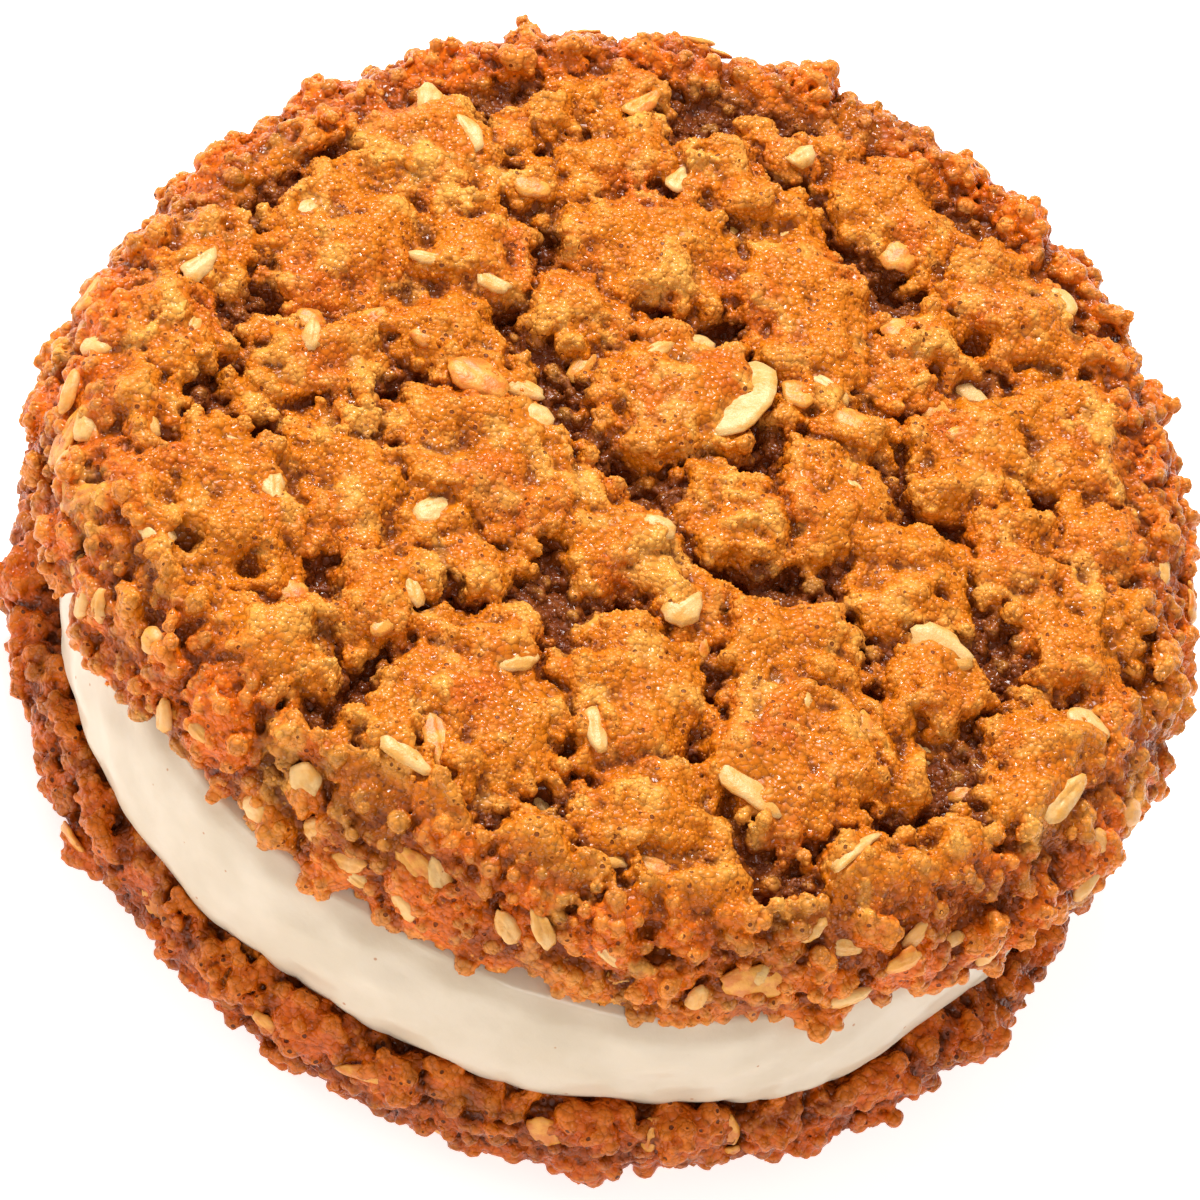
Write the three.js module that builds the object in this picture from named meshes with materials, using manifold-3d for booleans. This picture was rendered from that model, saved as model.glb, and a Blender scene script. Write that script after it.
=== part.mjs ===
// An oatmeal cream pie: two soft oatmeal cookies with their flat baked sides
// against a thick layer of vanilla cream. Millimetres, +Z up. The origin is the
// middle of the small flat spot that the lower cookie rests on.
import * as THREE from 'three'
import { mergeVertices } from 'three/addons/utils/BufferGeometryUtils.js'
import Module from 'manifold-3d'

// ---- driving dimensions (mm) ----
const TOP_RADIUS = 37.3
const TOP_THICKNESS = 10.0
const BOTTOM_RADIUS = 37.9
const BOTTOM_THICKNESS = 9.95
const CREAM_RADIUS = 35.7
const CREAM_THICKNESS = 8.0
const SEAM = 0.3 // clearance between the cream and each cookie

// the profile of a cookie, seen from the side
const SHOULDER_REACH = 5.5 // how far in from the edge the rounding starts
const BELLY_HEIGHT = 0.22 // the widest level, as a share of the thickness
const TOP_TUCK = 0.1 // how far the upper cookie's baked edge draws in at its flat side
const BOTTOM_TUCK = 1.3 // and the lower cookie's
const CROWN = 0.5 // rise of the crust from its edge to its middle
const SHOULDER_TURNS = [12, 30, 48, 68, 90] // degrees round the shoulder, from the face to the belly
const SKIRT = [[0.5, 0.25], [0, 1]] // under the belly: share of its height, share of the tuck

// the broken crust
const CRACK_DEPTH = 1.9
const CRACK_LIP = 1.2 // width over which a plate's edge falls into the crack
const WARP = 0.55 // how far the plates' outlines wander
const CLUMP_SIZE = 5.2 // lumps of dough on the rim
const CLUMP_RELIEF = 1.5
const CRUMB_SIZE = 2.6 // smaller nodules on the lumps
const CRUMB_RELIEF = 0.6
const CRUMB_ON_PLATES = 0.3 // share of the nodules' height that the plates keep
const LUMP_STEEPNESS = 1.6 // how sharply a lump rises from its notch
const LUMP_DOMING = 0.35 // how much lower a lump is at its edge than in its middle
const LUMP_MEAN = 0.61 // mean level of the lumps, so that they neither swell nor shrink the cookie
const RIM_START = 0.84 // where the plates give way to the rim, as a share of the radius
const RIM_FULL = 0.94
const PLATE_RINGS = 4 // rings of plates on the crust that the photograph doesn't show

// the cream's side, from the top down: share of the thickness, how far it draws in
const CREAM_PROFILE = [[1, 1.8], [0.86, 0.8], [0.6, 0.15], [0.34, 0], [0.12, 0.25], [0, 1.0]]
const CREAM_SIDES = 90
const CREAM_SCALLOP = 0.25

// rolled oat flakes
const FLAKE_THICKNESS = 1.1
const FLAKE_SIDES = 8
const FLAKE_STAND = 0.15 // how far a flake's middle plane stands above the crust
const EDGE_FLAKE_LENGTH = [2.8, 4.4] // flakes set out by rule where the photograph doesn't reach
const EDGE_FLAKE_WIDTH = [1.8, 2.5]

// the flat spot under the lower cookie
const REST_RADIUS = 15
const REST_PRESS = 0.35 // how deep the crown is pressed flat there

// The slow waves of each outline: [waves round the edge, height in mm, turn in degrees].
// Each is seen with the crust up, so the lower cookie's are mirrored when it is turned over.
const TOP_WAVES = [[1, 0.85, 73], [2, 0.67, 36], [3, 0.9, -38], [4, 0.18, 28], [5, 0.25, -13]]
const BOTTOM_WAVES = [[1, 0.19, 123], [2, 0.35, 55], [3, 0.2, -51], [6, 0.1, 18]]
const CREAM_WAVES = [[1, 0.75, -90], [2, 0.5, -82], [3, 0.21, 48], [4, 0.15, 35], [5, 0.18, 17]]

// The plates of crust on the upper cookie: [x, y, half length, half width, turn in degrees].
const TOP_PLATES = [
  [-0.5, 5, 5.4, 4.9, 80], [4.5, 16, 6.6, 4.6, -62], [-6, 15, 5.6, 5, 20], [-10.5, 20.5, 5, 3, 62],
  [-3.5, 23.5, 3.3, 2.8, -15], [1, 22.5, 2.2, 1.5, 65], [7, 27, 6.8, 3.4, -22], [17, 23, 6.2, 3.9, -24],
  [12.5, 16, 4.3, 2.7, 75], [24.5, 15.5, 6.6, 4.6, -35], [18.5, 10.5, 5, 4.2, 80],
  [28.5, 9.5, 4.4, 3.4, 60], [22.5, 5, 4.6, 2.8, -70], [17.5, -1, 5, 4, 100], [28, 0.5, 4.6, 3.2, 120],
  [33, 3.5, 3.4, 2.8, 20], [34.5, -3, 3.2, 2.8, 60], [21.5, -7.5, 3.3, 2.9, -20],
  [29.5, -10, 5.6, 3.3, 100], [27, -18.5, 2.6, 2.4, 0], [6.5, -1.5, 3.9, 3.6, 0], [10.5, 2, 4.8, 3.6, 70],
  [9, 8.5, 4.2, 2.5, 0], [-0.5, -7.5, 4, 3.4, -30], [5, -9.5, 4.2, 2.6, -20], [12.5, -10, 5.4, 3.4, 10],
  [15.5, -17, 6.4, 5.6, 60], [4.5, -18, 6, 4.6, 95], [-3.5, -23, 6.8, 5.2, 110], [-10, -7, 6.6, 5.8, 20],
  [-16.5, -12, 5.6, 4.2, -50], [-12, -19, 4.4, 2.8, 80], [-22, -17.5, 6.8, 4.4, -52],
  [-23.5, 5.5, 6.4, 4.6, 95], [-21.5, 15, 5.8, 4.6, -30], [-16, 8.5, 4.2, 3.3, 50],
  [-15.5, 2.5, 4.2, 3.4, -50], [-8.5, 8, 3.2, 2.9, -60], [-12.5, -0.5, 3.6, 2.4, 10],
  [-22, -4, 4.2, 3, 15], [-24, -7.5, 2.2, 1.7, 60], [-18, -8.5, 1.9, 2.1, 60],
  [-16.5, -25.5, 4.6, 3.6, 70], [-25, -25, 5, 2.8, -28], [-30, -19, 4.8, 3.4, -50],
  [-32, -13, 5, 3.2, -35], [-31, -6.5, 4, 3.6, 80], [-32, 0, 4.8, 3.4, 60], [-11.5, -11.5, 4.2, 3.4, 0],
  [8.5, -25.5, 4.8, 4.2, 30], [-13.5, -32, 4.2, 2.4, 8], [-5.5, -32.5, 4.6, 2.6, -10],
  [3, -32, 4.2, 2.8, 20], [13.5, -30, 4.8, 3.2, 15], [19, -30, 4.2, 3, 20], [22, -22.5, 3, 2.8, 70],
  [27.5, -21.5, 2.6, 1.8, 10], [26, -25, 3.4, 2.4, 30], [-7, -27.5, 3.2, 2.6, -30],
  [-12.5, 26, 3.6, 2.2, 60], [-16, 21, 2.8, 2, 60], [-14.5, 16, 2, 2.2, 0], [-1, 27.5, 2.6, 1.6, 5],
  [20, -14, 3.6, 3, -40], [-8, -13, 3, 2.4, 0],
]

// The oat flakes that show on it, largest first: [x, y, length, width, turn in degrees].
const TOP_FLAKES = [
  [2.9, 6.2, 7.4, 4.6, 78], [13.6, -20.8, 5.4, 3.4, -28], [18.6, -30.4, 4.8, 3, 12],
  [16.4, 15.6, 5, 2.8, -14], [-12.2, -1, 4.4, 2.9, -15], [20.9, -5.5, 4.4, 2.6, -8],
  [-5, -27.3, 5, 1.8, -58], [8.8, 23.9, 3.4, 2.6, 80], [-8.2, -2.5, 3.2, 2.6, 40],
  [31.4, -11.7, 4.4, 1.8, 75], [14.9, 13.4, 3, 2.6, 20], [31.2, -5.7, 3, 2.6, -20],
  [-6.4, -29.4, 3.8, 1.8, -18], [10.6, 8.2, 3.1, 2.1, 6], [18.1, -13.7, 3.2, 2, -70],
  [-19.7, 16.8, 3, 2, -35], [32, 9.8, 3.6, 1.6, -65], [21.9, -11.6, 3.2, 1.8, -35],
  [10.1, -28.4, 3.2, 1.8, 12], [-3.2, -33.8, 3.2, 1.8, 20], [-31.1, -1.6, 3.2, 1.8, 75],
  [25.1, -23.9, 2.7, 2.1, 40], [20.5, -22.4, 4.3, 1.3, 66], [-29.7, -13.9, 3.4, 1.6, -36],
  [-11.3, -11.7, 3, 1.8, 55], [7, -12.1, 3, 1.8, 95], [-2.8, -19.7, 3, 1.8, 42],
  [-26.9, 6.3, 2.8, 1.8, 80], [-14.5, 15.6, 2.5, 2, 10], [8.2, 10.4, 3, 1.6, -18],
  [-6.7, 4.7, 3, 1.6, 80], [3.4, -22.2, 3.2, 1.5, -60], [-10.4, 25.9, 3.2, 1.5, 65],
  [22.5, -26.3, 3.4, 1.4, 5], [-6, 21.6, 2.5, 1.9, 80], [6.9, -29.4, 3.1, 1.5, 10],
]

const degrees = (angle) => angle * Math.PI / 180
const mix = (a, b, share) => a + (b - a) * share
const smooth = (low, high, value) => THREE.MathUtils.smoothstep(value, low, high)
const fraction = (value) => value - Math.floor(value)

// A repeatable number from 0 to 1 for a cell of a grid.
function scatter(i, j, k, seed) {
  return fraction(Math.sin(i * 127.1 + j * 311.7 + k * 74.7 + seed * 53.3) * 43758.5453)
}

// Rounded lumps that fill space: 1 in the middle of a lump, 0 in the notch between two.
function lumps(point, size, seed) {
  const home = point.map((value) => Math.floor(value / size))
  let nearest = Infinity
  let second = Infinity
  for (let n = 0; n < 27; n++) {
    const steps = [n % 3 - 1, Math.floor(n / 3) % 3 - 1, Math.floor(n / 9) - 1]
    const [i, j, k] = steps.map((step, axis) => home[axis] + step)
    const reach = Math.hypot(
      (i + scatter(i, j, k, seed)) * size - point[0],
      (j + scatter(i, j, k, seed + 1)) * size - point[1],
      (k + scatter(i, j, k, seed + 2)) * size - point[2])
    second = Math.min(second, Math.max(nearest, reach))
    nearest = Math.min(nearest, reach)
  }
  return Math.min(1, LUMP_STEEPNESS * (second - nearest) / size) * (1 - LUMP_DOMING * nearest / size)
}

// The radius of a wavy outline in one direction.
function outline(radius, waves, angle) {
  let reach = radius
  for (const [count, height, turn] of waves) reach += height * Math.cos(count * (angle - degrees(turn)))
  return reach
}

// How high the crust stands at a place: 0 on a plate, -CRACK_DEPTH in a crack.
function plateRelief(plates, x, y) {
  const wx = x + WARP * (Math.sin(1.3 * y + 0.7) + 0.6 * Math.sin(2.9 * x + 1.1 * y))
  const wy = y + WARP * (Math.sin(1.1 * x + 2.1) + 0.6 * Math.sin(2.6 * y - 1.7 * x))
  let inside = -Infinity
  let second = -Infinity
  for (const [px, py, long, wide, turn] of plates) {
    const [c, s] = [Math.cos(degrees(turn)), Math.sin(degrees(turn))]
    const along = ((wx - px) * c + (wy - py) * s) / long
    const across = ((wy - py) * c - (wx - px) * s) / wide
    const depth = (1 - Math.hypot(along, across)) * Math.sqrt(long * wide)
    second = Math.max(second, Math.min(inside, depth))
    inside = Math.max(inside, depth)
  }
  const edge = Math.min(inside + 0.4, (inside - second) / 2)
  return CRACK_DEPTH * (smooth(-0.3, CRACK_LIP, edge) - 1)
}

// Plates for a crust that the photograph doesn't show: rings of them, set out by rule.
function ruledPlates(radius, seed) {
  const plates = []
  for (let ring = 1; ring <= PLATE_RINGS; ring++) {
    const count = 6 * ring
    for (let n = 0; n < count; n++) {
      const draw = (kind) => scatter(ring, n, kind, seed)
      const angle = 2 * Math.PI * (n + 0.5 * (ring % 2) + 0.6 * (draw(0) - 0.5)) / count
      const reach = radius * (ring - 0.1 + 0.35 * (draw(1) - 0.5)) / (PLATE_RINGS + 0.6)
      const long = mix(3.6, 5.8, draw(2))
      const wide = long * mix(0.6, 0.95, draw(3))
      plates.push([reach * Math.cos(angle), reach * Math.sin(angle), long, wide, 180 * draw(4)])
    }
  }
  return plates
}

// A closed skin over rings of points, the first and the last of them a single point.
function skin(rings) {
  const faces = []
  let start = 0
  for (let r = 0; r + 1 < rings.length; r++) {
    const [inner, outer] = [rings[r].length, rings[r + 1].length]
    const [innerSteps, outerSteps] = [inner, outer].map((count) => (count > 1 ? count : 0))
    const [atInner, atOuter] = [(n) => start + n % inner, (n) => start + inner + n % outer]
    let [i, o] = [0, 0]
    while (i < innerSteps || o < outerSteps) {
      const outerNext = i >= innerSteps || (o < outerSteps && (o + 1) * innerSteps <= (i + 1) * outerSteps)
      faces.push(atInner(i), atOuter(o), outerNext ? atOuter(o + 1) : atInner(i + 1))
      if (outerNext) o++
      else i++
    }
    start += inner
  }
  const geometry = new THREE.BufferGeometry()
  geometry.setAttribute('position', new THREE.Float32BufferAttribute(rings.flat(2), 3))
  geometry.setIndex(faces)
  return geometry
}

// A ring of points: count of them, each made from its angle.
function ringOf(count, pointAt) {
  return Array.from({ length: count }, (_, n) => pointAt(2 * Math.PI * n / count))
}

// One cookie, crust up, its flat baked side on z = 0.
function cookieBody({ radius, thickness, tuck, waves, plates, seed, rings, restsOnCrust }) {
  const floor = restsOnCrust ? thickness + CROWN - REST_PRESS : Infinity

  // puts a point on the smooth body and moves it outwards along the slope by the crust's relief
  const place = (angle, reach, height, slope) => {
    const [c, s] = [Math.cos(angle), Math.sin(angle)]
    const body = [reach * c, reach * s, height]
    const rim = smooth(RIM_START, RIM_FULL, reach / outline(radius, waves, angle))
    const crumb = CRUMB_RELIEF * (lumps(body, CRUMB_SIZE, seed + 7) - LUMP_MEAN)
    const clump = CLUMP_RELIEF * (lumps(body, CLUMP_SIZE, seed) - LUMP_MEAN)
    const face = plateRelief(plates, body[0], body[1]) + CRUMB_ON_PLATES * crumb
    const calm = restsOnCrust ? smooth(0.5 * REST_RADIUS, REST_RADIUS, reach) : 1
    const lift = mix(face, clump + crumb, rim) * smooth(0, 1, height) * calm
    const sideways = reach + lift * Math.cos(slope)
    return [sideways * c, sideways * s, Math.min(floor, height + lift * Math.sin(slope))]
  }
  const rows = []
  const row = (count, reachAt, height, slope) => {
    rows.push(ringOf(count, (angle) => place(angle, reachAt(outline(radius, waves, angle)), height, slope)))
  }

  // the crust's face: each ring has six more points than the one inside it
  for (let ring = 0; ring <= rings; ring++) {
    const share = ring / rings
    const height = thickness + CROWN * (1 - share ** 2)
    row(Math.max(1, 6 * ring), (edge) => share * (edge - SHOULDER_REACH), height, Math.PI / 2)
  }

  // the shoulder curves down to the belly, and the skirt tucks in to the flat side
  const sides = 6 * rings
  const belly = thickness * BELLY_HEIGHT
  for (const turn of SHOULDER_TURNS.map(degrees)) {
    const height = belly + (thickness - belly) * Math.cos(turn)
    row(sides, (edge) => edge - SHOULDER_REACH * (1 - Math.sin(turn)), height, Math.PI / 2 - turn)
  }
  for (const [share, drawn] of SKIRT) row(sides, (edge) => edge - tuck * drawn, belly * share, 0)
  row(1, () => 0, 0, 0)
  return skin(rows)
}

// A rolled oat: a thin oval with rounded faces, lying on the crust at a point.
function oatFlake(spot, outward, length, width, turn) {
  const oval = new THREE.SphereGeometry(0.5, FLAKE_SIDES, 3)
  oval.rotateX(Math.PI / 2)
  oval.scale(length, width, FLAKE_THICKNESS)
  oval.rotateZ(degrees(turn))
  const lie = new THREE.Quaternion().setFromUnitVectors(new THREE.Vector3(0, 0, 1), outward)
  oval.applyQuaternion(lie)
  const middle = spot.clone().addScaledVector(outward, FLAKE_STAND)
  oval.translate(middle.x, middle.y, middle.z)
  return oval
}

// Where a line that comes in against the outward direction first meets the crust.
function meet(body, aim, outward) {
  const start = aim.clone().addScaledVector(outward, 30)
  const ray = new THREE.Raycaster(start, outward.clone().negate())
  const mesh = new THREE.Mesh(body, new THREE.MeshBasicMaterial({ side: THREE.DoubleSide }))
  return ray.intersectObject(mesh)[0].point
}

// The smooth body of the upper cookie over a place: a point of it and its outward direction.
function overTopCookie(x, y) {
  const reach = Math.hypot(x, y)
  const edge = outline(TOP_RADIUS, TOP_WAVES, Math.atan2(y, x))
  const round = THREE.MathUtils.clamp(1 + (reach - edge) / SHOULDER_REACH, 0, 0.95)
  const belly = BELLY_HEIGHT * TOP_THICKNESS
  const rise = (TOP_THICKNESS - belly) * Math.sqrt(1 - round ** 2)
  const steepness = round / SHOULDER_REACH / reach
  const outward = new THREE.Vector3(x * steepness, y * steepness, rise / (TOP_THICKNESS - belly) ** 2)
  return { aim: new THREE.Vector3(x, y, belly + rise), outward: outward.normalize() }
}

const wasm = await Module()
wasm.setup()

// A closed geometry as a solid that can be joined to others.
function solid(geometry) {
  const bare = geometry.clone()
  bare.deleteAttribute('normal')
  bare.deleteAttribute('uv')
  const whole = mergeVertices(bare, 1e-4)
  return new wasm.Manifold(new wasm.Mesh({
    numProp: 3,
    vertProperties: new Float32Array(whole.attributes.position.array),
    triVerts: new Uint32Array(whole.index.array),
  }))
}

// One solid of a body and the pieces pressed into it.
function fuse(body, pieces) {
  let joined = solid(body)
  for (const piece of pieces) joined = joined.add(solid(piece))
  const mesh = joined.getMesh()
  const geometry = new THREE.BufferGeometry()
  geometry.setAttribute('position', new THREE.BufferAttribute(mesh.vertProperties, 3))
  geometry.setIndex(new THREE.BufferAttribute(mesh.triVerts, 1))
  return geometry
}

// Flakes pressed into a cookie's side and shoulder, set out by rule from one angle to another.
function edgeFlakes(body, thickness, count, [from, to], steepest, seed) {
  return Array.from({ length: count }, (_, n) => {
    const draw = (kind) => scatter(n, kind, 3, seed)
    const angle = degrees(mix(from, to, (n + 0.7 * draw(0)) / count))
    const lean = degrees(steepest * draw(1))
    const [c, s] = [Math.cos(angle), Math.sin(angle)]
    const outward = new THREE.Vector3(c * Math.cos(lean), s * Math.cos(lean), Math.sin(lean))
    const aim = new THREE.Vector3(c, s, 0).multiplyScalar(0.8 * TOP_RADIUS)
    aim.z = thickness * mix(0.3, 0.55, draw(2))
    const spot = meet(body, aim, outward)
    const [length, width] = [mix(...EDGE_FLAKE_LENGTH, draw(3)), mix(...EDGE_FLAKE_WIDTH, draw(4))]
    return oatFlake(spot, outward, length, width, 180 * draw(5))
  })
}

const COOKIE = new THREE.MeshStandardMaterial({ color: 0xb5722f, roughness: 0.75, metalness: 0 })
const DARK_COOKIE = new THREE.MeshStandardMaterial({ color: 0x9a5722, roughness: 0.75, metalness: 0 })
const CREAM = new THREE.MeshStandardMaterial({ color: 0xf3e9d8, roughness: 0.35, metalness: 0 })

function topCookie() {
  const body = cookieBody({
    radius: TOP_RADIUS, thickness: TOP_THICKNESS, tuck: TOP_TUCK, waves: TOP_WAVES,
    plates: TOP_PLATES, seed: 11, rings: 22,
  })
  const shown = TOP_FLAKES.map(([x, y, length, width, turn]) => {
    const { aim, outward } = overTopCookie(x, y)
    return oatFlake(meet(body, aim, outward), outward, length, width, turn)
  })
  const hidden = edgeFlakes(body, TOP_THICKNESS, 10, [20, 200], 70, 5)
  return new THREE.Mesh(fuse(body, [...shown, ...hidden]), COOKIE)
}

function bottomCookie() {
  const body = cookieBody({
    radius: BOTTOM_RADIUS, thickness: BOTTOM_THICKNESS, tuck: BOTTOM_TUCK, waves: BOTTOM_WAVES,
    plates: ruledPlates(BOTTOM_RADIUS, 3), seed: 23, rings: 17, restsOnCrust: true,
  })
  const flakes = edgeFlakes(body, BOTTOM_THICKNESS, 16, [0, 360], 30, 9)
  const mesh = new THREE.Mesh(fuse(body, flakes), DARK_COOKIE)
  mesh.rotation.x = Math.PI
  return mesh
}

// The cream: squeezed out a little between the cookies, its scalloped foot lapping onto the lower one.
function cream() {
  const layer = CREAM_PROFILE.map(([share, inset]) => ringOf(CREAM_SIDES, (angle) => {
    const foot = CREAM_SCALLOP * (1 - share)
    const scallop = foot * (Math.sin(13 * angle + 1) + 0.5 * Math.sin(29 * angle))
    const reach = outline(CREAM_RADIUS, CREAM_WAVES, angle) - inset + scallop
    return [reach * Math.cos(angle), reach * Math.sin(angle), share * CREAM_THICKNESS]
  }))
  return new THREE.Mesh(skin([[[0, 0, CREAM_THICKNESS]], ...layer, [[0, 0, 0]]]), CREAM)
}

const pie = new THREE.Group()

const lower = bottomCookie()
lower.name = 'cookie_bottom'
lower.position.z = BOTTOM_THICKNESS + CROWN - REST_PRESS
pie.add(lower)

const filling = cream()
filling.name = 'cream_filling'
filling.position.z = lower.position.z + SEAM
pie.add(filling)

const upper = topCookie()
upper.name = 'cookie_top'
upper.position.z = filling.position.z + CREAM_THICKNESS + SEAM
pie.add(upper)

export default pie
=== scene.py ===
# %% [markdown]
# # An oatmeal cream pie
#
# Two soft oatmeal cookies lie with their flat baked sides against a thick layer of
# vanilla cream. The crust of each cookie has dried and broken into golden plates
# while the moist crumb between them stayed dark, and rolled oats lie in it.
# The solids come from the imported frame, and nothing here moves or resizes them.

# %% Load the frame
import math

import bpy
import numpy as np
import openvdb
from mathutils import Matrix, Vector


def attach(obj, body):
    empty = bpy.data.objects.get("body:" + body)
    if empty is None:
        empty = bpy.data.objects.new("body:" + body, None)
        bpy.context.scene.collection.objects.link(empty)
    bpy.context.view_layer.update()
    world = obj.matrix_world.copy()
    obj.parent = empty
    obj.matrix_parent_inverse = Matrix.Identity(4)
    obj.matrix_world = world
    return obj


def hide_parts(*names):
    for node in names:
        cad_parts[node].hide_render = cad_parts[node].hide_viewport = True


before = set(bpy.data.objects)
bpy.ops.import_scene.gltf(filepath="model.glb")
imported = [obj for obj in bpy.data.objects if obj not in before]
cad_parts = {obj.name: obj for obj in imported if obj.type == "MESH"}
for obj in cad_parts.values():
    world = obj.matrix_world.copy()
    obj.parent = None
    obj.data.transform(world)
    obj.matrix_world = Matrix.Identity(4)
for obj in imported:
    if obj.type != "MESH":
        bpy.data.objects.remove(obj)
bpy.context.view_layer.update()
scene = bpy.context.scene
MM = 0.001
TURN, HALF_TURN = 6.28, 3.1  # about a whole and half a turn, for directions drawn at random

# %% [markdown]
# ## Camera
#
# The photograph looks down at the pie from 52 degrees above the table, from about
# 42 cm away, with the camera rolled to one side so that the cream shows at the lower
# left. A long lens keeps the cookie nearly free of perspective. The camera is turned
# and moved, not shifted, so that other views can swing it round the pie.

# %% Camera
CAMERA_HEIGHT = math.radians(52.0)
CAMERA_ROLL = math.radians(24.3)
CAMERA_DISTANCE = 420 * MM
SENSOR = 36.0  # mm
PHOTO_SIDE = 1200
PIXELS_PER_MM = 15.55
AIM = Vector((0, 0, 14 * MM))
AIM_PIXEL = (601.4, 583.4)

back = Vector((0, -math.cos(CAMERA_HEIGHT), math.sin(CAMERA_HEIGHT)))
level = Vector((1, 0, 0))
upright = back.cross(level)
across = level * math.cos(CAMERA_ROLL) + upright * math.sin(CAMERA_ROLL)
upwards = upright * math.cos(CAMERA_ROLL) - level * math.sin(CAMERA_ROLL)

lens = bpy.data.cameras.new("camera")
lens.sensor_width = SENSOR
lens.lens = PIXELS_PER_MM * CAMERA_DISTANCE / MM * SENSOR / PHOTO_SIDE
lens.clip_start = 10 * MM
lens.clip_end = 20
camera = bpy.data.objects.new("camera", lens)
scene.collection.objects.link(camera)
pixel = MM / PIXELS_PER_MM
place = AIM + back * CAMERA_DISTANCE
place -= across * (AIM_PIXEL[0] - PHOTO_SIDE / 2) * pixel
place += upwards * (AIM_PIXEL[1] - PHOTO_SIDE / 2) * pixel
camera.matrix_world = Matrix((across, upwards, back)).transposed().to_4x4()
camera.location = place
scene.camera = camera
print("lens", round(lens.lens, 1), "mm")

# %% [markdown]
# ## Light and floor
#
# The photograph is a studio cut-out: white ground, one broad soft light from behind
# and above, and weaker fills from the front and the side. Area lights the size of
# softboxes give small, soft highlights on moist crumb, and a bright world fills the
# cracks.

# %% Light and floor
scene.view_settings.view_transform = "Standard"
scene.view_settings.look = "None"
WORLD_COLOUR, WORLD_STRENGTH = (1, 0.96, 0.9, 1), 0.46
FLOOR_SIDE = 4.0  # metres


def softbox(name, where, size, watts):
    """A square area light that faces the pie, with its place and its side in metres."""
    lamp = bpy.data.lights.new(name, "AREA")
    lamp.shape = "SQUARE"
    lamp.size = size
    lamp.energy = watts
    box = bpy.data.objects.new(name, lamp)
    scene.collection.objects.link(box)
    box.location = where
    box.rotation_euler = (Vector(where) - AIM).to_track_quat("Z", "Y").to_euler()


softbox("key_softbox", (-0.2, 0.32, 0.5), 0.2, 5.3)
softbox("front_fill", (0.2, -0.6, 0.45), 0.3, 1.5)
softbox("side_fill", (-0.6, -0.1, 0.3), 0.3, 0.8)

sky = bpy.data.worlds.new("studio")
sky.use_nodes = True
ambient = sky.node_tree.nodes["Background"]
ambient.inputs["Color"].default_value = WORLD_COLOUR
ambient.inputs["Strength"].default_value = WORLD_STRENGTH
scene.world = sky

floor_mesh = bpy.data.meshes.new("floor")
half = FLOOR_SIDE / 2
corners = [(-half, -half, 0), (half, -half, 0), (half, half, 0), (-half, half, 0)]
floor_mesh.from_pydata(corners, [], [(0, 1, 2, 3)])
floor = bpy.data.objects.new("floor", floor_mesh)
scene.collection.objects.link(floor)
print("floor of", FLOOR_SIDE, "m under a world of strength", WORLD_STRENGTH)

# %% [markdown]
# ## Sizes of the pie
#
# These are the sizes of the solids, in millimetres, so that the fine surface follows
# them. The slow waves of each outline are [waves round the edge, height, turn].

# %% Sizes
TOP_RADIUS = 37.3
TOP_THICKNESS = 10.0
BOTTOM_RADIUS = 37.9
BOTTOM_THICKNESS = 9.95
CREAM_RADIUS = 35.7
SHOULDER_REACH = 5.5  # how far in from the edge the shoulder starts
BELLY_HEIGHT = 0.22  # of the thickness, where a cookie is widest
TOP_TUCK = 0.1  # how far the skirt draws in to the baked side
BOTTOM_TUCK = 1.3
CROWN = 0.5  # how much higher the middle of the face is than its edge
REST_RADIUS = 15  # the spot that the pie rests on
REST_PRESS = 0.35
CRACK_DEPTH = 1.9

TOP_WAVES = [[1, 0.85, 73], [2, 0.67, 36], [3, 0.9, -38], [4, 0.18, 28], [5, 0.25, -13]]
BOTTOM_WAVES = [[1, 0.19, 123], [2, 0.35, 55], [3, 0.2, -51], [6, 0.1, 18]]
CREAM_WAVES = [[1, 0.75, -90], [2, 0.5, -82], [3, 0.21, 48], [4, 0.15, 35], [5, 0.18, 17]]

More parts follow.
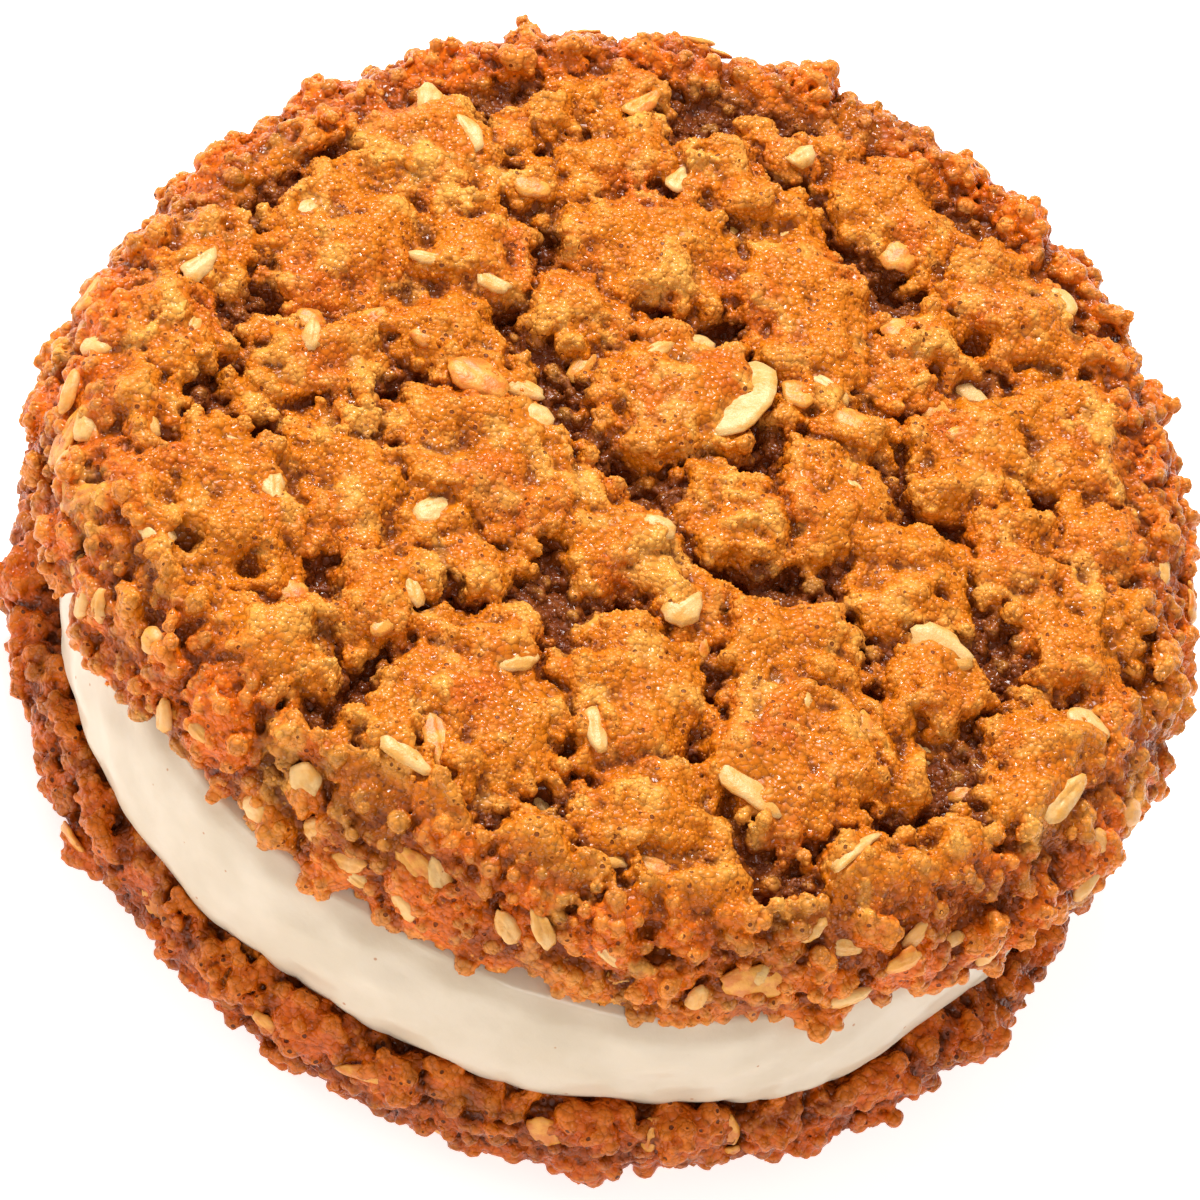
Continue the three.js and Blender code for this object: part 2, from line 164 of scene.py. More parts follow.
# The plates of the upper crust: [x, y, half length, half width, turn in degrees].
TOP_PLATES = [
    [-0.5, 5, 5.4, 4.9, 80], [4.5, 16, 6.6, 4.6, -62], [-6, 15, 5.6, 5, 20], [-10.5, 20.5, 5, 3, 62],
    [-3.5, 23.5, 3.3, 2.8, -15], [1, 22.5, 2.2, 1.5, 65], [7, 27, 6.8, 3.4, -22], [17, 23, 6.2, 3.9, -24],
    [12.5, 16, 4.3, 2.7, 75], [24.5, 15.5, 6.6, 4.6, -35], [18.5, 10.5, 5, 4.2, 80],
    [28.5, 9.5, 4.4, 3.4, 60], [22.5, 5, 4.6, 2.8, -70], [17.5, -1, 5, 4, 100], [28, 0.5, 4.6, 3.2, 120],
    [33, 3.5, 3.4, 2.8, 20], [34.5, -3, 3.2, 2.8, 60], [21.5, -7.5, 3.3, 2.9, -20],
    [29.5, -10, 5.6, 3.3, 100], [27, -18.5, 2.6, 2.4, 0], [6.5, -1.5, 3.9, 3.6, 0], [10.5, 2, 4.8, 3.6, 70],
    [9, 8.5, 4.2, 2.5, 0], [-0.5, -7.5, 4, 3.4, -30], [5, -9.5, 4.2, 2.6, -20], [12.5, -10, 5.4, 3.4, 10],
    [15.5, -17, 6.4, 5.6, 60], [4.5, -18, 6, 4.6, 95], [-3.5, -23, 6.8, 5.2, 110], [-10, -7, 6.6, 5.8, 20],
    [-16.5, -12, 5.6, 4.2, -50], [-12, -19, 4.4, 2.8, 80], [-22, -17.5, 6.8, 4.4, -52],
    [-23.5, 5.5, 6.4, 4.6, 95], [-21.5, 15, 5.8, 4.6, -30], [-16, 8.5, 4.2, 3.3, 50],
    [-15.5, 2.5, 4.2, 3.4, -50], [-8.5, 8, 3.2, 2.9, -60], [-12.5, -0.5, 3.6, 2.4, 10],
    [-22, -4, 4.2, 3, 15], [-24, -7.5, 2.2, 1.7, 60], [-18, -8.5, 1.9, 2.1, 60],
    [-16.5, -25.5, 4.6, 3.6, 70], [-25, -25, 5, 2.8, -28], [-30, -19, 4.8, 3.4, -50],
    [-32, -13, 5, 3.2, -35], [-31, -6.5, 4, 3.6, 80], [-32, 0, 4.8, 3.4, 60], [-11.5, -11.5, 4.2, 3.4, 0],
    [8.5, -25.5, 4.8, 4.2, 30], [-13.5, -32, 4.2, 2.4, 8], [-5.5, -32.5, 4.6, 2.6, -10],
    [3, -32, 4.2, 2.8, 20], [13.5, -30, 4.8, 3.2, 15], [19, -30, 4.2, 3, 20], [22, -22.5, 3, 2.8, 70],
    [27.5, -21.5, 2.6, 1.8, 10], [26, -25, 3.4, 2.4, 30], [-7, -27.5, 3.2, 2.6, -30],
    [-12.5, 26, 3.6, 2.2, 60], [-16, 21, 2.8, 2, 60], [-14.5, 16, 2, 2.2, 0], [-1, 27.5, 2.6, 1.6, 5],
    [20, -14, 3.6, 3, -40], [-8, -13, 3, 2.4, 0],
]
print(len(TOP_PLATES), "plates of crust")

# %% [markdown]
# ## Noise with one rule
#
# Dough breaks into lumps, lumps into crumbs. Each size is the same rule at another
# scale: space is cut into boxes, every box holds one point, and a place belongs to
# the nearest point. The distance to that point makes a rounded grain, and the gap to
# the second nearest makes the notch between two grains. The boxes' points are drawn
# once, from a fixed seed. Some boxes also hold a ball of crumb that can stand proud.

# %% Lumps
REACH = [(i, j, k) for i in (-1, 0, 1) for j in (-1, 0, 1) for k in (-1, 0, 1)]
ROOM = 46.0  # mm from the middle that the boxes have to cover
DOWN, MORE_UP = 8.0, 12.0  # mm: they reach 8 down from the flat side, and 8 + 12 up
CHUNK = 60000  # places worked out at a time
FAR = 9.0  # further away than anything that counts
GONE = -9.0  # the radius of a ball that isn't there


class Lumps:
    """Rounded lumps of about one size that fill the cookie."""

    def __init__(self, size, seed, jitter=0.9):
        self.size = size
        self.shift = np.array([ROOM, ROOM, DOWN], np.float32)
        count = np.ceil((2 * self.shift + [0, 0, MORE_UP]) / size).astype(int) + 3
        draw = np.random.default_rng(seed)
        spots = 0.5 + jitter * (draw.random((*count, 3), dtype=np.float32) - 0.5)
        lines = (np.arange(n, dtype=np.float32) for n in count)
        corner = np.stack(np.meshgrid(*lines, indexing="ij"), -1)
        self.spots = (spots + corner).reshape(-1, 3)
        self.tone = draw.random(len(self.spots), dtype=np.float32)
        self.count = count
        self.radius = np.full(len(self.spots), np.float32(GONE))

    def middles(self):
        """The middle of every lump, in mm."""
        return (self.spots - np.float32(1)) * np.float32(self.size) - self.shift

    def boxes(self, points):
        """For each of 27 boxes round each point: the lump's number, the step to its middle in boxes."""
        place = (points + self.shift) / np.float32(self.size) + np.float32(1)
        home = np.minimum(place.astype(np.int64), self.count - 2)
        for i, j, k in REACH:
            index = ((home[:, 0] + i) * self.count[1] + home[:, 1] + j) * self.count[2] + home[:, 2] + k
            yield index, self.spots[index] - place

    def balls(self, points):
        """Distance, in mm, to a heap of balls, one round the middle of each lump that has a radius."""
        away = np.empty(len(points), np.float32)
        for start in range(0, len(points), CHUNK):
            part = slice(start, start + CHUNK)
            best = np.full(len(points[part]), FAR, np.float32)
            for index, step in self.boxes(points[part]):
                reach = np.sqrt(np.einsum("ij,ij->i", step, step)) * np.float32(self.size)
                best = np.minimum(best, reach - self.radius[index])
            away[part] = best
        return away

    def at(self, points):
        """Distance to the nearest lump's middle, the gap to the next, that middle and its tone."""
        near = np.empty(len(points), np.float32)
        gap = np.empty(len(points), np.float32)
        which = np.empty(len(points), np.int64)
        for start in range(0, len(points), CHUNK):
            part = slice(start, start + CHUNK)
            first = np.full(len(points[part]), FAR, np.float32)
            second = first.copy()
            best = np.zeros(len(first), np.int64)
            for index, step in self.boxes(points[part]):
                away = np.einsum("ij,ij->i", step, step)
                closer = away < first
                second = np.where(closer, first, np.minimum(second, away))
                best = np.where(closer, index, best)
                first = np.where(closer, away, first)
            near[part] = np.sqrt(first)
            gap[part] = np.sqrt(second) - np.sqrt(first)
            which[part] = best
        return near, gap, self.middles()[which], self.tone[which]


def smooth(low, high, value):
    """0 below low, 1 above high, and a soft step between."""
    share = np.clip((value - low) / (high - low), 0, 1)
    return share * share * (3 - 2 * share)


def mix(a, b, share):
    return a + (b - a) * share


# %% [markdown]
# ## The smooth body
#
# Under all its crumb a cookie is a low dome that was turned round an axis: a nearly
# flat face, a rounded shoulder, a belly and a skirt that tucks in to the baked side.
# A table of distances to that one curve gives, at every place in space, how deep it
# lies under the smooth surface. The wavy outline only shifts the curve in or out.

# %% Profile
TABLE_STEP = 0.1  # mm
TABLE_LOW = (0.0, -4.0)  # least radius and height in mm
TABLE_SIZE = (460, 200)  # steps


def outline(radius, waves, angle):
    """The radius of a wavy outline in each direction."""
    reach = np.full_like(angle, radius)
    for count, height, turn in waves:
        reach += height * np.cos(count * (angle - math.radians(turn)))
    return reach


def profile_curve(radius, thickness, tuck):
    """The half section of a cookie, from the middle of the crust to the middle of the flat side."""
    belly = BELLY_HEIGHT * thickness
    share = np.linspace(0, 1, 12)
    face = np.stack([share * (radius - SHOULDER_REACH), thickness + CROWN * (1 - share**2)], 1)
    turn = np.radians(np.linspace(6, 90, 16))
    level = belly + (thickness - belly) * np.cos(turn)
    shoulder = np.stack([radius - SHOULDER_REACH * (1 - np.sin(turn)), level], 1)
    fall = np.linspace(0.9, 0, 8)
    skirt = np.stack([radius - tuck * (1 - fall) ** 2, belly * fall], 1)
    return np.concatenate([face, shoulder, skirt, [[0, 0]]])


def profile_table(radius, thickness, tuck):
    """Signed distance to the half section, negative inside, on a fine grid of radius and height."""
    curve = profile_curve(radius, thickness, tuck)
    lines = (low + TABLE_STEP * np.arange(n) for low, n in zip(TABLE_LOW, TABLE_SIZE))
    r, z = np.meshgrid(*lines, indexing="ij")
    spot = np.stack([r, z], -1)
    best = np.full(r.shape, 99.0)
    turns = np.zeros(r.shape, int)
    for a, b in zip(curve[:-1], curve[1:]):
        along = b - a
        share = np.clip(((spot - a) @ along) / (along @ along), 0, 1)
        best = np.minimum(best, np.linalg.norm(spot - a - share[..., None] * along, axis=-1))
        crosses = (a[1] > z) != (b[1] > z)
        rise = along[1] if abs(along[1]) > 1e-9 else 1e-9
        turns += crosses & (r < a[0] + (z - a[1]) / rise * along[0])
    return np.where(turns % 2 == 1, -best, best).astype(np.float32)


def look_up(table, low, step, x, y):
    """Bilinear reading of a table at many places."""
    u = np.clip((x - low[0]) / step, 0, table.shape[0] - 1.001)
    v = np.clip((y - low[1]) / step, 0, table.shape[1] - 1.001)
    i, j = u.astype(np.int32), v.astype(np.int32)
    u, v = (u - i).astype(np.float32), (v - j).astype(np.float32)
    lower = table[i, j] * (1 - u) + table[i + 1, j] * u
    upper = table[i, j + 1] * (1 - u) + table[i + 1, j + 1] * u
    return lower * (1 - v) + upper * v


# %% [markdown]
# ## The broken crust
#
# A drying crust shrinks and parts into plates that ride on soft crumb. Each plate is
# an oval with a wandering edge. A place belongs to the plate that it lies deepest in:
# where it lies in none the crumb shows, and where two plates press on each other
# there is only a crease.

# %% Where the oats lie
FLAT, TIPPED, EDGE, TIPPED_BACK, DUSTED, NUGGET = range(6)

# [x, y, length, width, turn in degrees, how it lies], in mm on the upper cookie.
OATS = [
    [2.9, 6.2, 7.4, 4.6, 78, TIPPED], [8.2, 10.4, 3, 1.6, -18, TIPPED], [10.6, 8.2, 3.1, 2.1, 6, DUSTED],
    [-8.2, -2.5, 3.2, 2.6, 40, FLAT], [-12.2, -1, 4.4, 2.9, -15, DUSTED], [-11.3, -11.7, 3, 1.8, 55, FLAT],
    [-6.7, 4.7, 3, 1.6, 80, DUSTED], [7, -12.1, 3, 1.8, 95, DUSTED], [16.4, 15.6, 5, 2.8, -14, TIPPED_BACK],
    [14.9, 13.4, 3, 2.6, 20, DUSTED], [18.1, 8.5, 2.4, 1.5, 70, TIPPED],
    [32, 9.8, 3.6, 1.6, -65, TIPPED_BACK], [31.2, -5.7, 3, 2.6, -20, FLAT],
    [20.9, -5.5, 4.4, 2.6, -8, TIPPED_BACK], [21.9, -11.6, 3.2, 1.8, -35, FLAT],
    [31.4, -11.7, 4.4, 1.8, 75, FLAT], [25.7, -13.4, 2.4, 1.9, 50, DUSTED],
    [18.1, -13.7, 3.2, 2, -70, DUSTED], [13.6, -20.8, 5.4, 3.4, -28, TIPPED],
    [20.5, -22.4, 4.3, 1.3, 66, EDGE], [25.1, -23.9, 2.7, 2.1, 40, DUSTED],
    [22.5, -26.3, 3.4, 1.4, 5, FLAT], [26.3, -25.4, 2.4, 1.7, -20, DUSTED],
    [18.6, -30.4, 4.8, 3, 12, DUSTED], [-10.3, -18, 2.7, 1.6, -50, FLAT],
    [-11, -21.1, 2.8, 1.4, 80, DUSTED], [-2.8, -19.7, 3, 1.8, 42, FLAT], [-0.9, -21.3, 2.2, 1, 8, TIPPED],
    [3.4, -22.2, 3.2, 1.5, -60, FLAT], [-5, -27.3, 5, 1.8, -58, DUSTED],
    [-6.4, -29.4, 3.8, 1.8, -18, TIPPED], [2, -27, 2.2, 1.2, -40, TIPPED],
    [6.9, -29.4, 3.1, 1.5, 10, TIPPED], [10.1, -28.4, 3.2, 1.8, 12, DUSTED],
    [-3.2, -33.8, 3.2, 1.8, 20, DUSTED], [-6.5, -34.2, 2.6, 1, 6, TIPPED],
    [-11.4, -31.9, 2.3, 1.9, 10, FLAT], [3.9, -35.1, 1.9, 1.9, 0, FLAT], [-26.9, 6.3, 2.8, 1.8, 80, FLAT],
    [-18.3, 6.1, 2.6, 1.1, 14, TIPPED], [-16.3, 0.4, 2.2, 1.6, 10, DUSTED],
    [-31.1, -1.6, 3.2, 1.8, 75, FLAT], [-29.6, -6.5, 2.6, 1.3, -85, FLAT], [-24.2, -13, 2.8, 0.9, 8, EDGE],
    [-29.7, -13.9, 3.4, 1.6, -36, TIPPED], [-20.6, -15.4, 2.2, 1.5, -60, FLAT],
    [-25.8, -21.4, 2.5, 1.7, -12, TIPPED], [-30.8, -22.2, 2.1, 1.2, 4, TIPPED],
    [-20.2, -29.4, 2.3, 1.4, -20, DUSTED], [-19.7, 16.8, 3, 2, -35, TIPPED_BACK],
    [-14.5, 15.6, 2.5, 2, 10, DUSTED], [-6, 21.6, 2.5, 1.9, 80, FLAT], [8.8, 23.9, 3.4, 2.6, 80, DUSTED],
    [0.4, 27.3, 2.2, 1.7, 70, FLAT], [1.6, 21.7, 2.3, 1.1, 60, TIPPED], [10.7, 17.6, 2.3, 2, 40, DUSTED],
    [19.8, 25.5, 2.4, 1.8, -20, FLAT], [-10.4, 25.9, 3.2, 1.5, 65, DUSTED],
]

print(len(OATS), "oats set out by hand")

# %% What else shapes the crust
# Oats just under the crust, which raise it and make it paler: [x, y, length, width, turn].
BURIED = [
    [-18.8, 12.2, 3.2, 2.6, 60], [-25, 12.6, 3.4, 2.4, 30], [-21.5, 12.8, 3, 2.2, 80],
    [-16, 15.4, 2.4, 2, 0], [-4, 13.2, 4, 3.4, 90], [-5.4, 23.4, 3, 2, 10], [-9.4, 5.6, 2.8, 2, -40],
    [-9.4, 25, 4, 2.2, 60], [3, 7, 1.8, 1.4, 0], [26.7, 13, 2.2, 1.6, 20], [24.6, 16.4, 5, 1.8, -50],
    [20.6, 24.6, 3, 2.2, -20], [-24, -5.6, 2.8, 2.2, 20], [-23.6, -9.6, 1.9, 1.4, 30],
    [-21.8, -9.8, 1.8, 1.6, 0], [-17.6, -6.9, 3.6, 3.2, 0], [-31.6, -6.8, 3, 1.2, 85],
    [-31.8, -9.2, 2.6, 1.3, 78], [-18, -3.8, 3, 2.6, 10], [-30.9, -18.8, 2.6, 1.5, -30],
    [-30.6, -20.6, 2.6, 1.3, -40], [3.2, -9, 5.2, 3.6, -20], [7, -2.6, 2.8, 2.2, 0], [5.2, -0.6, 3, 1.6, 0],
    [-6.6, -4.8, 2.6, 2, -60], [-9.6, -16.2, 3, 2.4, 0], [0, -13.6, 2.6, 2, 20],
    [-4.3, -15.8, 2.8, 1.6, 20], [-3.6, -5.6, 3.6, 2.6, 0], [16.2, -7.2, 2.8, 1.6, -60],
    [35.6, -6, 4, 2.2, 85], [30.6, -14.8, 2.8, 2, 40], [21.6, -3, 3.2, 2.2, 0], [-5.9, -23.6, 2, 1.5, 85],
    [-13.3, -25.3, 1.6, 1.1, 80], [-22.8, -29.4, 3.2, 1.8, -30], [-13.2, -31.2, 5, 1.8, -8],
    [-16.4, -24.4, 4, 3, 0], [7, -25, 2.8, 2.2, 0], [14.6, -23.7, 2.6, 1.7, 10], [18.9, -27.6, 2.2, 1, 15],
    [12, -33.2, 2.6, 1.2, 15], [6.2, -33, 2.2, 1, 0], [22.5, -24, 2.6, 1.6, 80], [-24.2, 3.4, 2.6, 1.8, 60],
    [12.8, 17.2, 2.6, 2, 50], [-33.5, -14.8, 2.8, 1.8, 80], [28.5, 4.6, 2.8, 2, 40],
]
BURIED_RISE = 0.38  # mm
# Where the oven browned the crust most: [x, y, reach].
TOASTED = [
    [1.8, 13.5, 2.8], [-0.8, 15.8, 1.6], [-8.5, 18.5, 2.8], [0.4, 8.6, 1.8], [2.6, 5.8, 1.4],
    [-1.6, 3.2, 2.2], [-8.5, -8.6, 2.8], [-5.2, -8.8, 1.8], [0.6, -10, 1.8], [9.2, 0.4, 2],
    [-21.6, -5, 2.2], [-29, -4, 2], [16, 12, 2.2], [14.5, 21.8, 2.2], [9.4, 25, 1.6], [-13.5, 10.5, 1.8],
    [-4, -24, 2.4], [13, -17.5, 2.4], [17, -24, 2.2], [25, -3, 2], [-23.5, 1, 2.4], [-27, -16, 1.8],
    [29, -17.5, 2], [6, 21, 1.8],
]
# Deep dark holes between plates: [x, y, width, depth].
HOLES = [
    [-15, -19.7, 1.1, 2], [-15.6, -18.4, 0.8, 1.4], [7, -5.6, 1, 2.2], [8.6, -5.8, 0.8, 1.4],
    [-1.8, -2, 0.9, 1.6], [9.7, -20, 0.9, 2], [9.4, -18.4, 0.6, 1.4], [13.4, 8.4, 0.8, 1.8],
    [7.8, 8, 0.5, 1.2], [13.8, 15.8, 0.5, 1.2], [19.6, -1.2, 0.6, 1.6], [1.3, -11.2, 0.8, 1.4],
    [-31.2, -14.8, 0.8, 2], [-27.9, -14.6, 0.8, 1.8], [33, 0.2, 1.2, 1.8], [-12.4, 5.4, 1, 1.6],
    [15.6, 19.6, 0.9, 2.2], [5, 22.2, 0.7, 1.4], [8.6, 21.4, 0.9, 1.8], [18.6, 4.8, 0.9, 1.8],
    [10.6, -4.2, 0.8, 1.8], [18, -10.2, 0.9, 2], [-19.8, -20.8, 0.9, 1.8], [-24, -20.8, 0.8, 1.6],
    [-26.6, -7, 0.8, 1.8], [-25.4, -4.8, 0.6, 1.4], [12.6, -22.6, 0.7, 1.4], [18.8, -23.4, 0.7, 1.6],
    [2.4, -28.2, 0.9, 1.8], [9, -15.6, 0.6, 1.4], [24.6, -18.8, 0.8, 1.8], [-27.6, 12.2, 0.7, 1.6],
    [-4.6, 10.2, 0.8, 1.6], [-13.2, -27.6, 0.8, 1.4], [25.4, -5.8, 0.7, 1.4], [-1.2, 11.6, 0.6, 1.2],
]
print(len(BURIED), "buried oats,", len(TOASTED), "browned spots and", len(HOLES), "deep holes")

# %% Plates
MAP_STEP = 0.12  # mm
MAP_LOW = (-40.0, -40.0)
MAP_SIDE = 667  # steps
WARP = 0.55  # mm that the edge of a plate wanders
PLATE_RINGS = 4
PILLOW = 0.75  # mm that the middle of a plate stands over its edge
SWELL = 0.22  # mm of unevenness a few mm across
CREASE = 0.4  # mm from the middle of a crease to its side
BED_RISE = 0.22  # mm that the crumb is raised round an oat


def wander(x, y, scale, seed, strength):
    """Slow, repeatable wandering of a place, made of a few sine waves."""
    draw = np.random.default_rng(seed)
    moved = []
    for _ in range(2):
        total = np.zeros_like(x)
        for _ in range(5):
            way = draw.uniform(0, 2 * math.pi)
            pitch = 2 * math.pi / (scale * draw.uniform(0.7, 1.5))
            total += np.sin(pitch * (x * math.cos(way) + y * math.sin(way)) + draw.uniform(0, TURN))
        moved.append(total * strength / 2.2)
    return moved


def ruled_plates(radius, seed):
    """Plates for a crust that the photograph doesn't show: rings of them, set out by rule."""
    plates = []
    for ring in range(1, PLATE_RINGS + 1):
        count = 6 * ring
        for n in range(count):
            draw = [scatter(ring, n, kind, seed) for kind in range(5)]
            angle = 2 * math.pi * (n + 0.5 * (ring % 2) + 0.6 * (draw[0] - 0.5)) / count
            reach = radius * (ring - 0.1 + 0.35 * (draw[1] - 0.5)) / (PLATE_RINGS + 0.6)
            long = mix(3.6, 5.8, draw[2])
            wide = long * mix(0.6, 0.95, draw[3])
            plates.append([reach * math.cos(angle), reach * math.sin(angle), long, wide, 180 * draw[4]])
    return plates


def scatter(i, j, k, seed):
    """The same repeatable number from 0 to 1 that the solids use."""
    value = math.sin(i * 127.1 + j * 311.7 + k * 74.7 + seed * 53.3) * 43758.5453
    return value - math.floor(value)


def oval(x, y, ox, oy, length, width, turn):
    """1 on the edge of an oval, less inside it."""
    c, s = math.cos(math.radians(turn)), math.sin(math.radians(turn))
    along, over = (x - ox) * c + (y - oy) * s, (y - oy) * c - (x - ox) * s
    return np.sqrt((2 * along / length) ** 2 + (2 * over / width) ** 2)


def crust_maps(plates, seed, oats=(), buried=(), toasted=(), holes=()):
    """Maps over x and y: relief, depth inside a plate, buried oats, browning, beds of oats."""
    line = MAP_LOW[0] + MAP_STEP * np.arange(MAP_SIDE)
    x, y = (a.astype(np.float32) for a in np.meshgrid(line, line, indexing="ij"))
    wx = x + WARP * (np.sin(1.3 * y + 0.7) + 0.6 * np.sin(2.9 * x + 1.1 * y))
    wy = y + WARP * (np.sin(1.1 * x + 2.1) + 0.6 * np.sin(2.6 * y - 1.7 * x))
    fx, fy = wander(x, y, 1.5, seed, 0.2)
    wx, wy = wx + fx, wy + fy
    draw = np.random.default_rng(seed)
    inside = np.full(x.shape, -FAR, np.float32)
    second = inside.copy()
    crown = np.zeros_like(inside)
    tone = np.zeros_like(inside)
    for px, py, long, wide, turn in plates:
        c, s = math.cos(math.radians(turn)), math.sin(math.radians(turn))
        along = ((wx - px) * c + (wy - py) * s) / long
        over = ((wy - py) * c - (wx - px) * s) / wide
        depth = (1 - np.sqrt(along**2 + over**2)) * math.sqrt(long * wide)
        lift, tip, lean = draw.uniform(-0.3, 0.35), draw.uniform(0, TURN), draw.uniform(0, 0.07)
        plate_tone = draw.random()
        height = lift + lean * ((x - px) * math.cos(tip) + (y - py) * math.sin(tip))
        closer = depth > inside
        second = np.where(closer, inside, np.maximum(second, depth))
        inside = np.where(closer, depth, inside)
        crown = np.where(closer, height, crown)
        tone = np.where(closer, plate_tone, tone)
    sag = sum(wander(x, y, 9.0, seed + 1, 0.5))
    hollow = CRACK_DEPTH * (1 + 0.3 * sag)
    crease = np.exp(-(((inside - second) / 2 / CREASE) ** 2)) * smooth(-0.6, 0.6, inside)
    pillow = PILLOW * smooth(-0.3, 3.0, inside)
    swell = SWELL * sum(wander(x, y, 4.2, seed + 2, 1.0))
    top = crown + pillow + swell - (0.2 + 0.35 * smooth(-0.6, 0.8, sag)) * crease - 0.4
    relief = mix(top, -hollow, smooth(0.05, -1.0, inside))
    for hx, hy, wide, deep in holes:
        near = ((x - hx) ** 2 + (y - hy) ** 2) / wide**2
        relief -= deep * np.exp(-near)
    oat, bed = np.zeros_like(relief), np.zeros_like(relief)
    for ox, oy, length, width, turn in buried:
        e = oval(wx, wy, ox, oy, length, width, turn)
        relief += BURIED_RISE * np.sqrt(np.clip(1.15 - e**2, 0, 1))
        oat = np.maximum(oat, smooth(1.25, 0.75, e))
    for ox, oy, length, width, turn, kind in oats:
        e = oval(x, y, ox, oy, length, width, turn)
        relief += BED_RISE * np.exp(-(((e - 1.35) / 0.3) ** 2))
        if kind != DUSTED:
            bed = np.maximum(bed, smooth(1.15, 0.9, e))
    brown = np.zeros_like(relief)
    for tx, ty, reach in toasted:
        brown = np.maximum(brown, smooth(1.3, 0.2, np.hypot(wx - tx, wy - ty) / reach))
    return [layer.astype(np.float32) for layer in (relief, inside, tone, oat, brown, bed)]


# %% [markdown]
# ## A cookie as distances in space
#
# For every place near the surface the rule below says how far it is from the crumb.
# Lumps of dough 5 mm across swell the rim, pebbles and crumbs roughen everything, and
# a crumb that lies on the edge of a plate goes with the plate or with the crack as a
# whole, which is what makes a broken edge ragged.

# %% Cookie
# Lumps: about how wide in mm, and what is added to the seed.
GRIDS = {
    "clump": (5.2, 11), "knob": (2.8, 15), "pebble": (1.25, 12), "crumb": (0.85, 13), "grain": (0.5, 14),
}
# Balls of crumb where the crust is open: least and most radius in mm.
BALLS = {"pebble": (0.52, 0.76), "crumb": (0.38, 0.54)}
SINK = 0.42  # how far the crust between the balls lies back
NEAR_RIM, FAR_RIM = 0.9, 0.82  # where the plates give way to the rim, as a share of the radius
RIM_BROADENS = (-8, 18)  # mm along y
CLUMP_HEIGHT, CRUMB_HEIGHT, GRAIN_HEIGHT = 1.6, 0.24, 0.14  # mm
GRAIN_REACH = 0.74  # boxes from the middle of a grain to its edge
DOME_MEAN = 0.6  # about the mean height of a grain, so that grains neither swell nor shrink the cookie


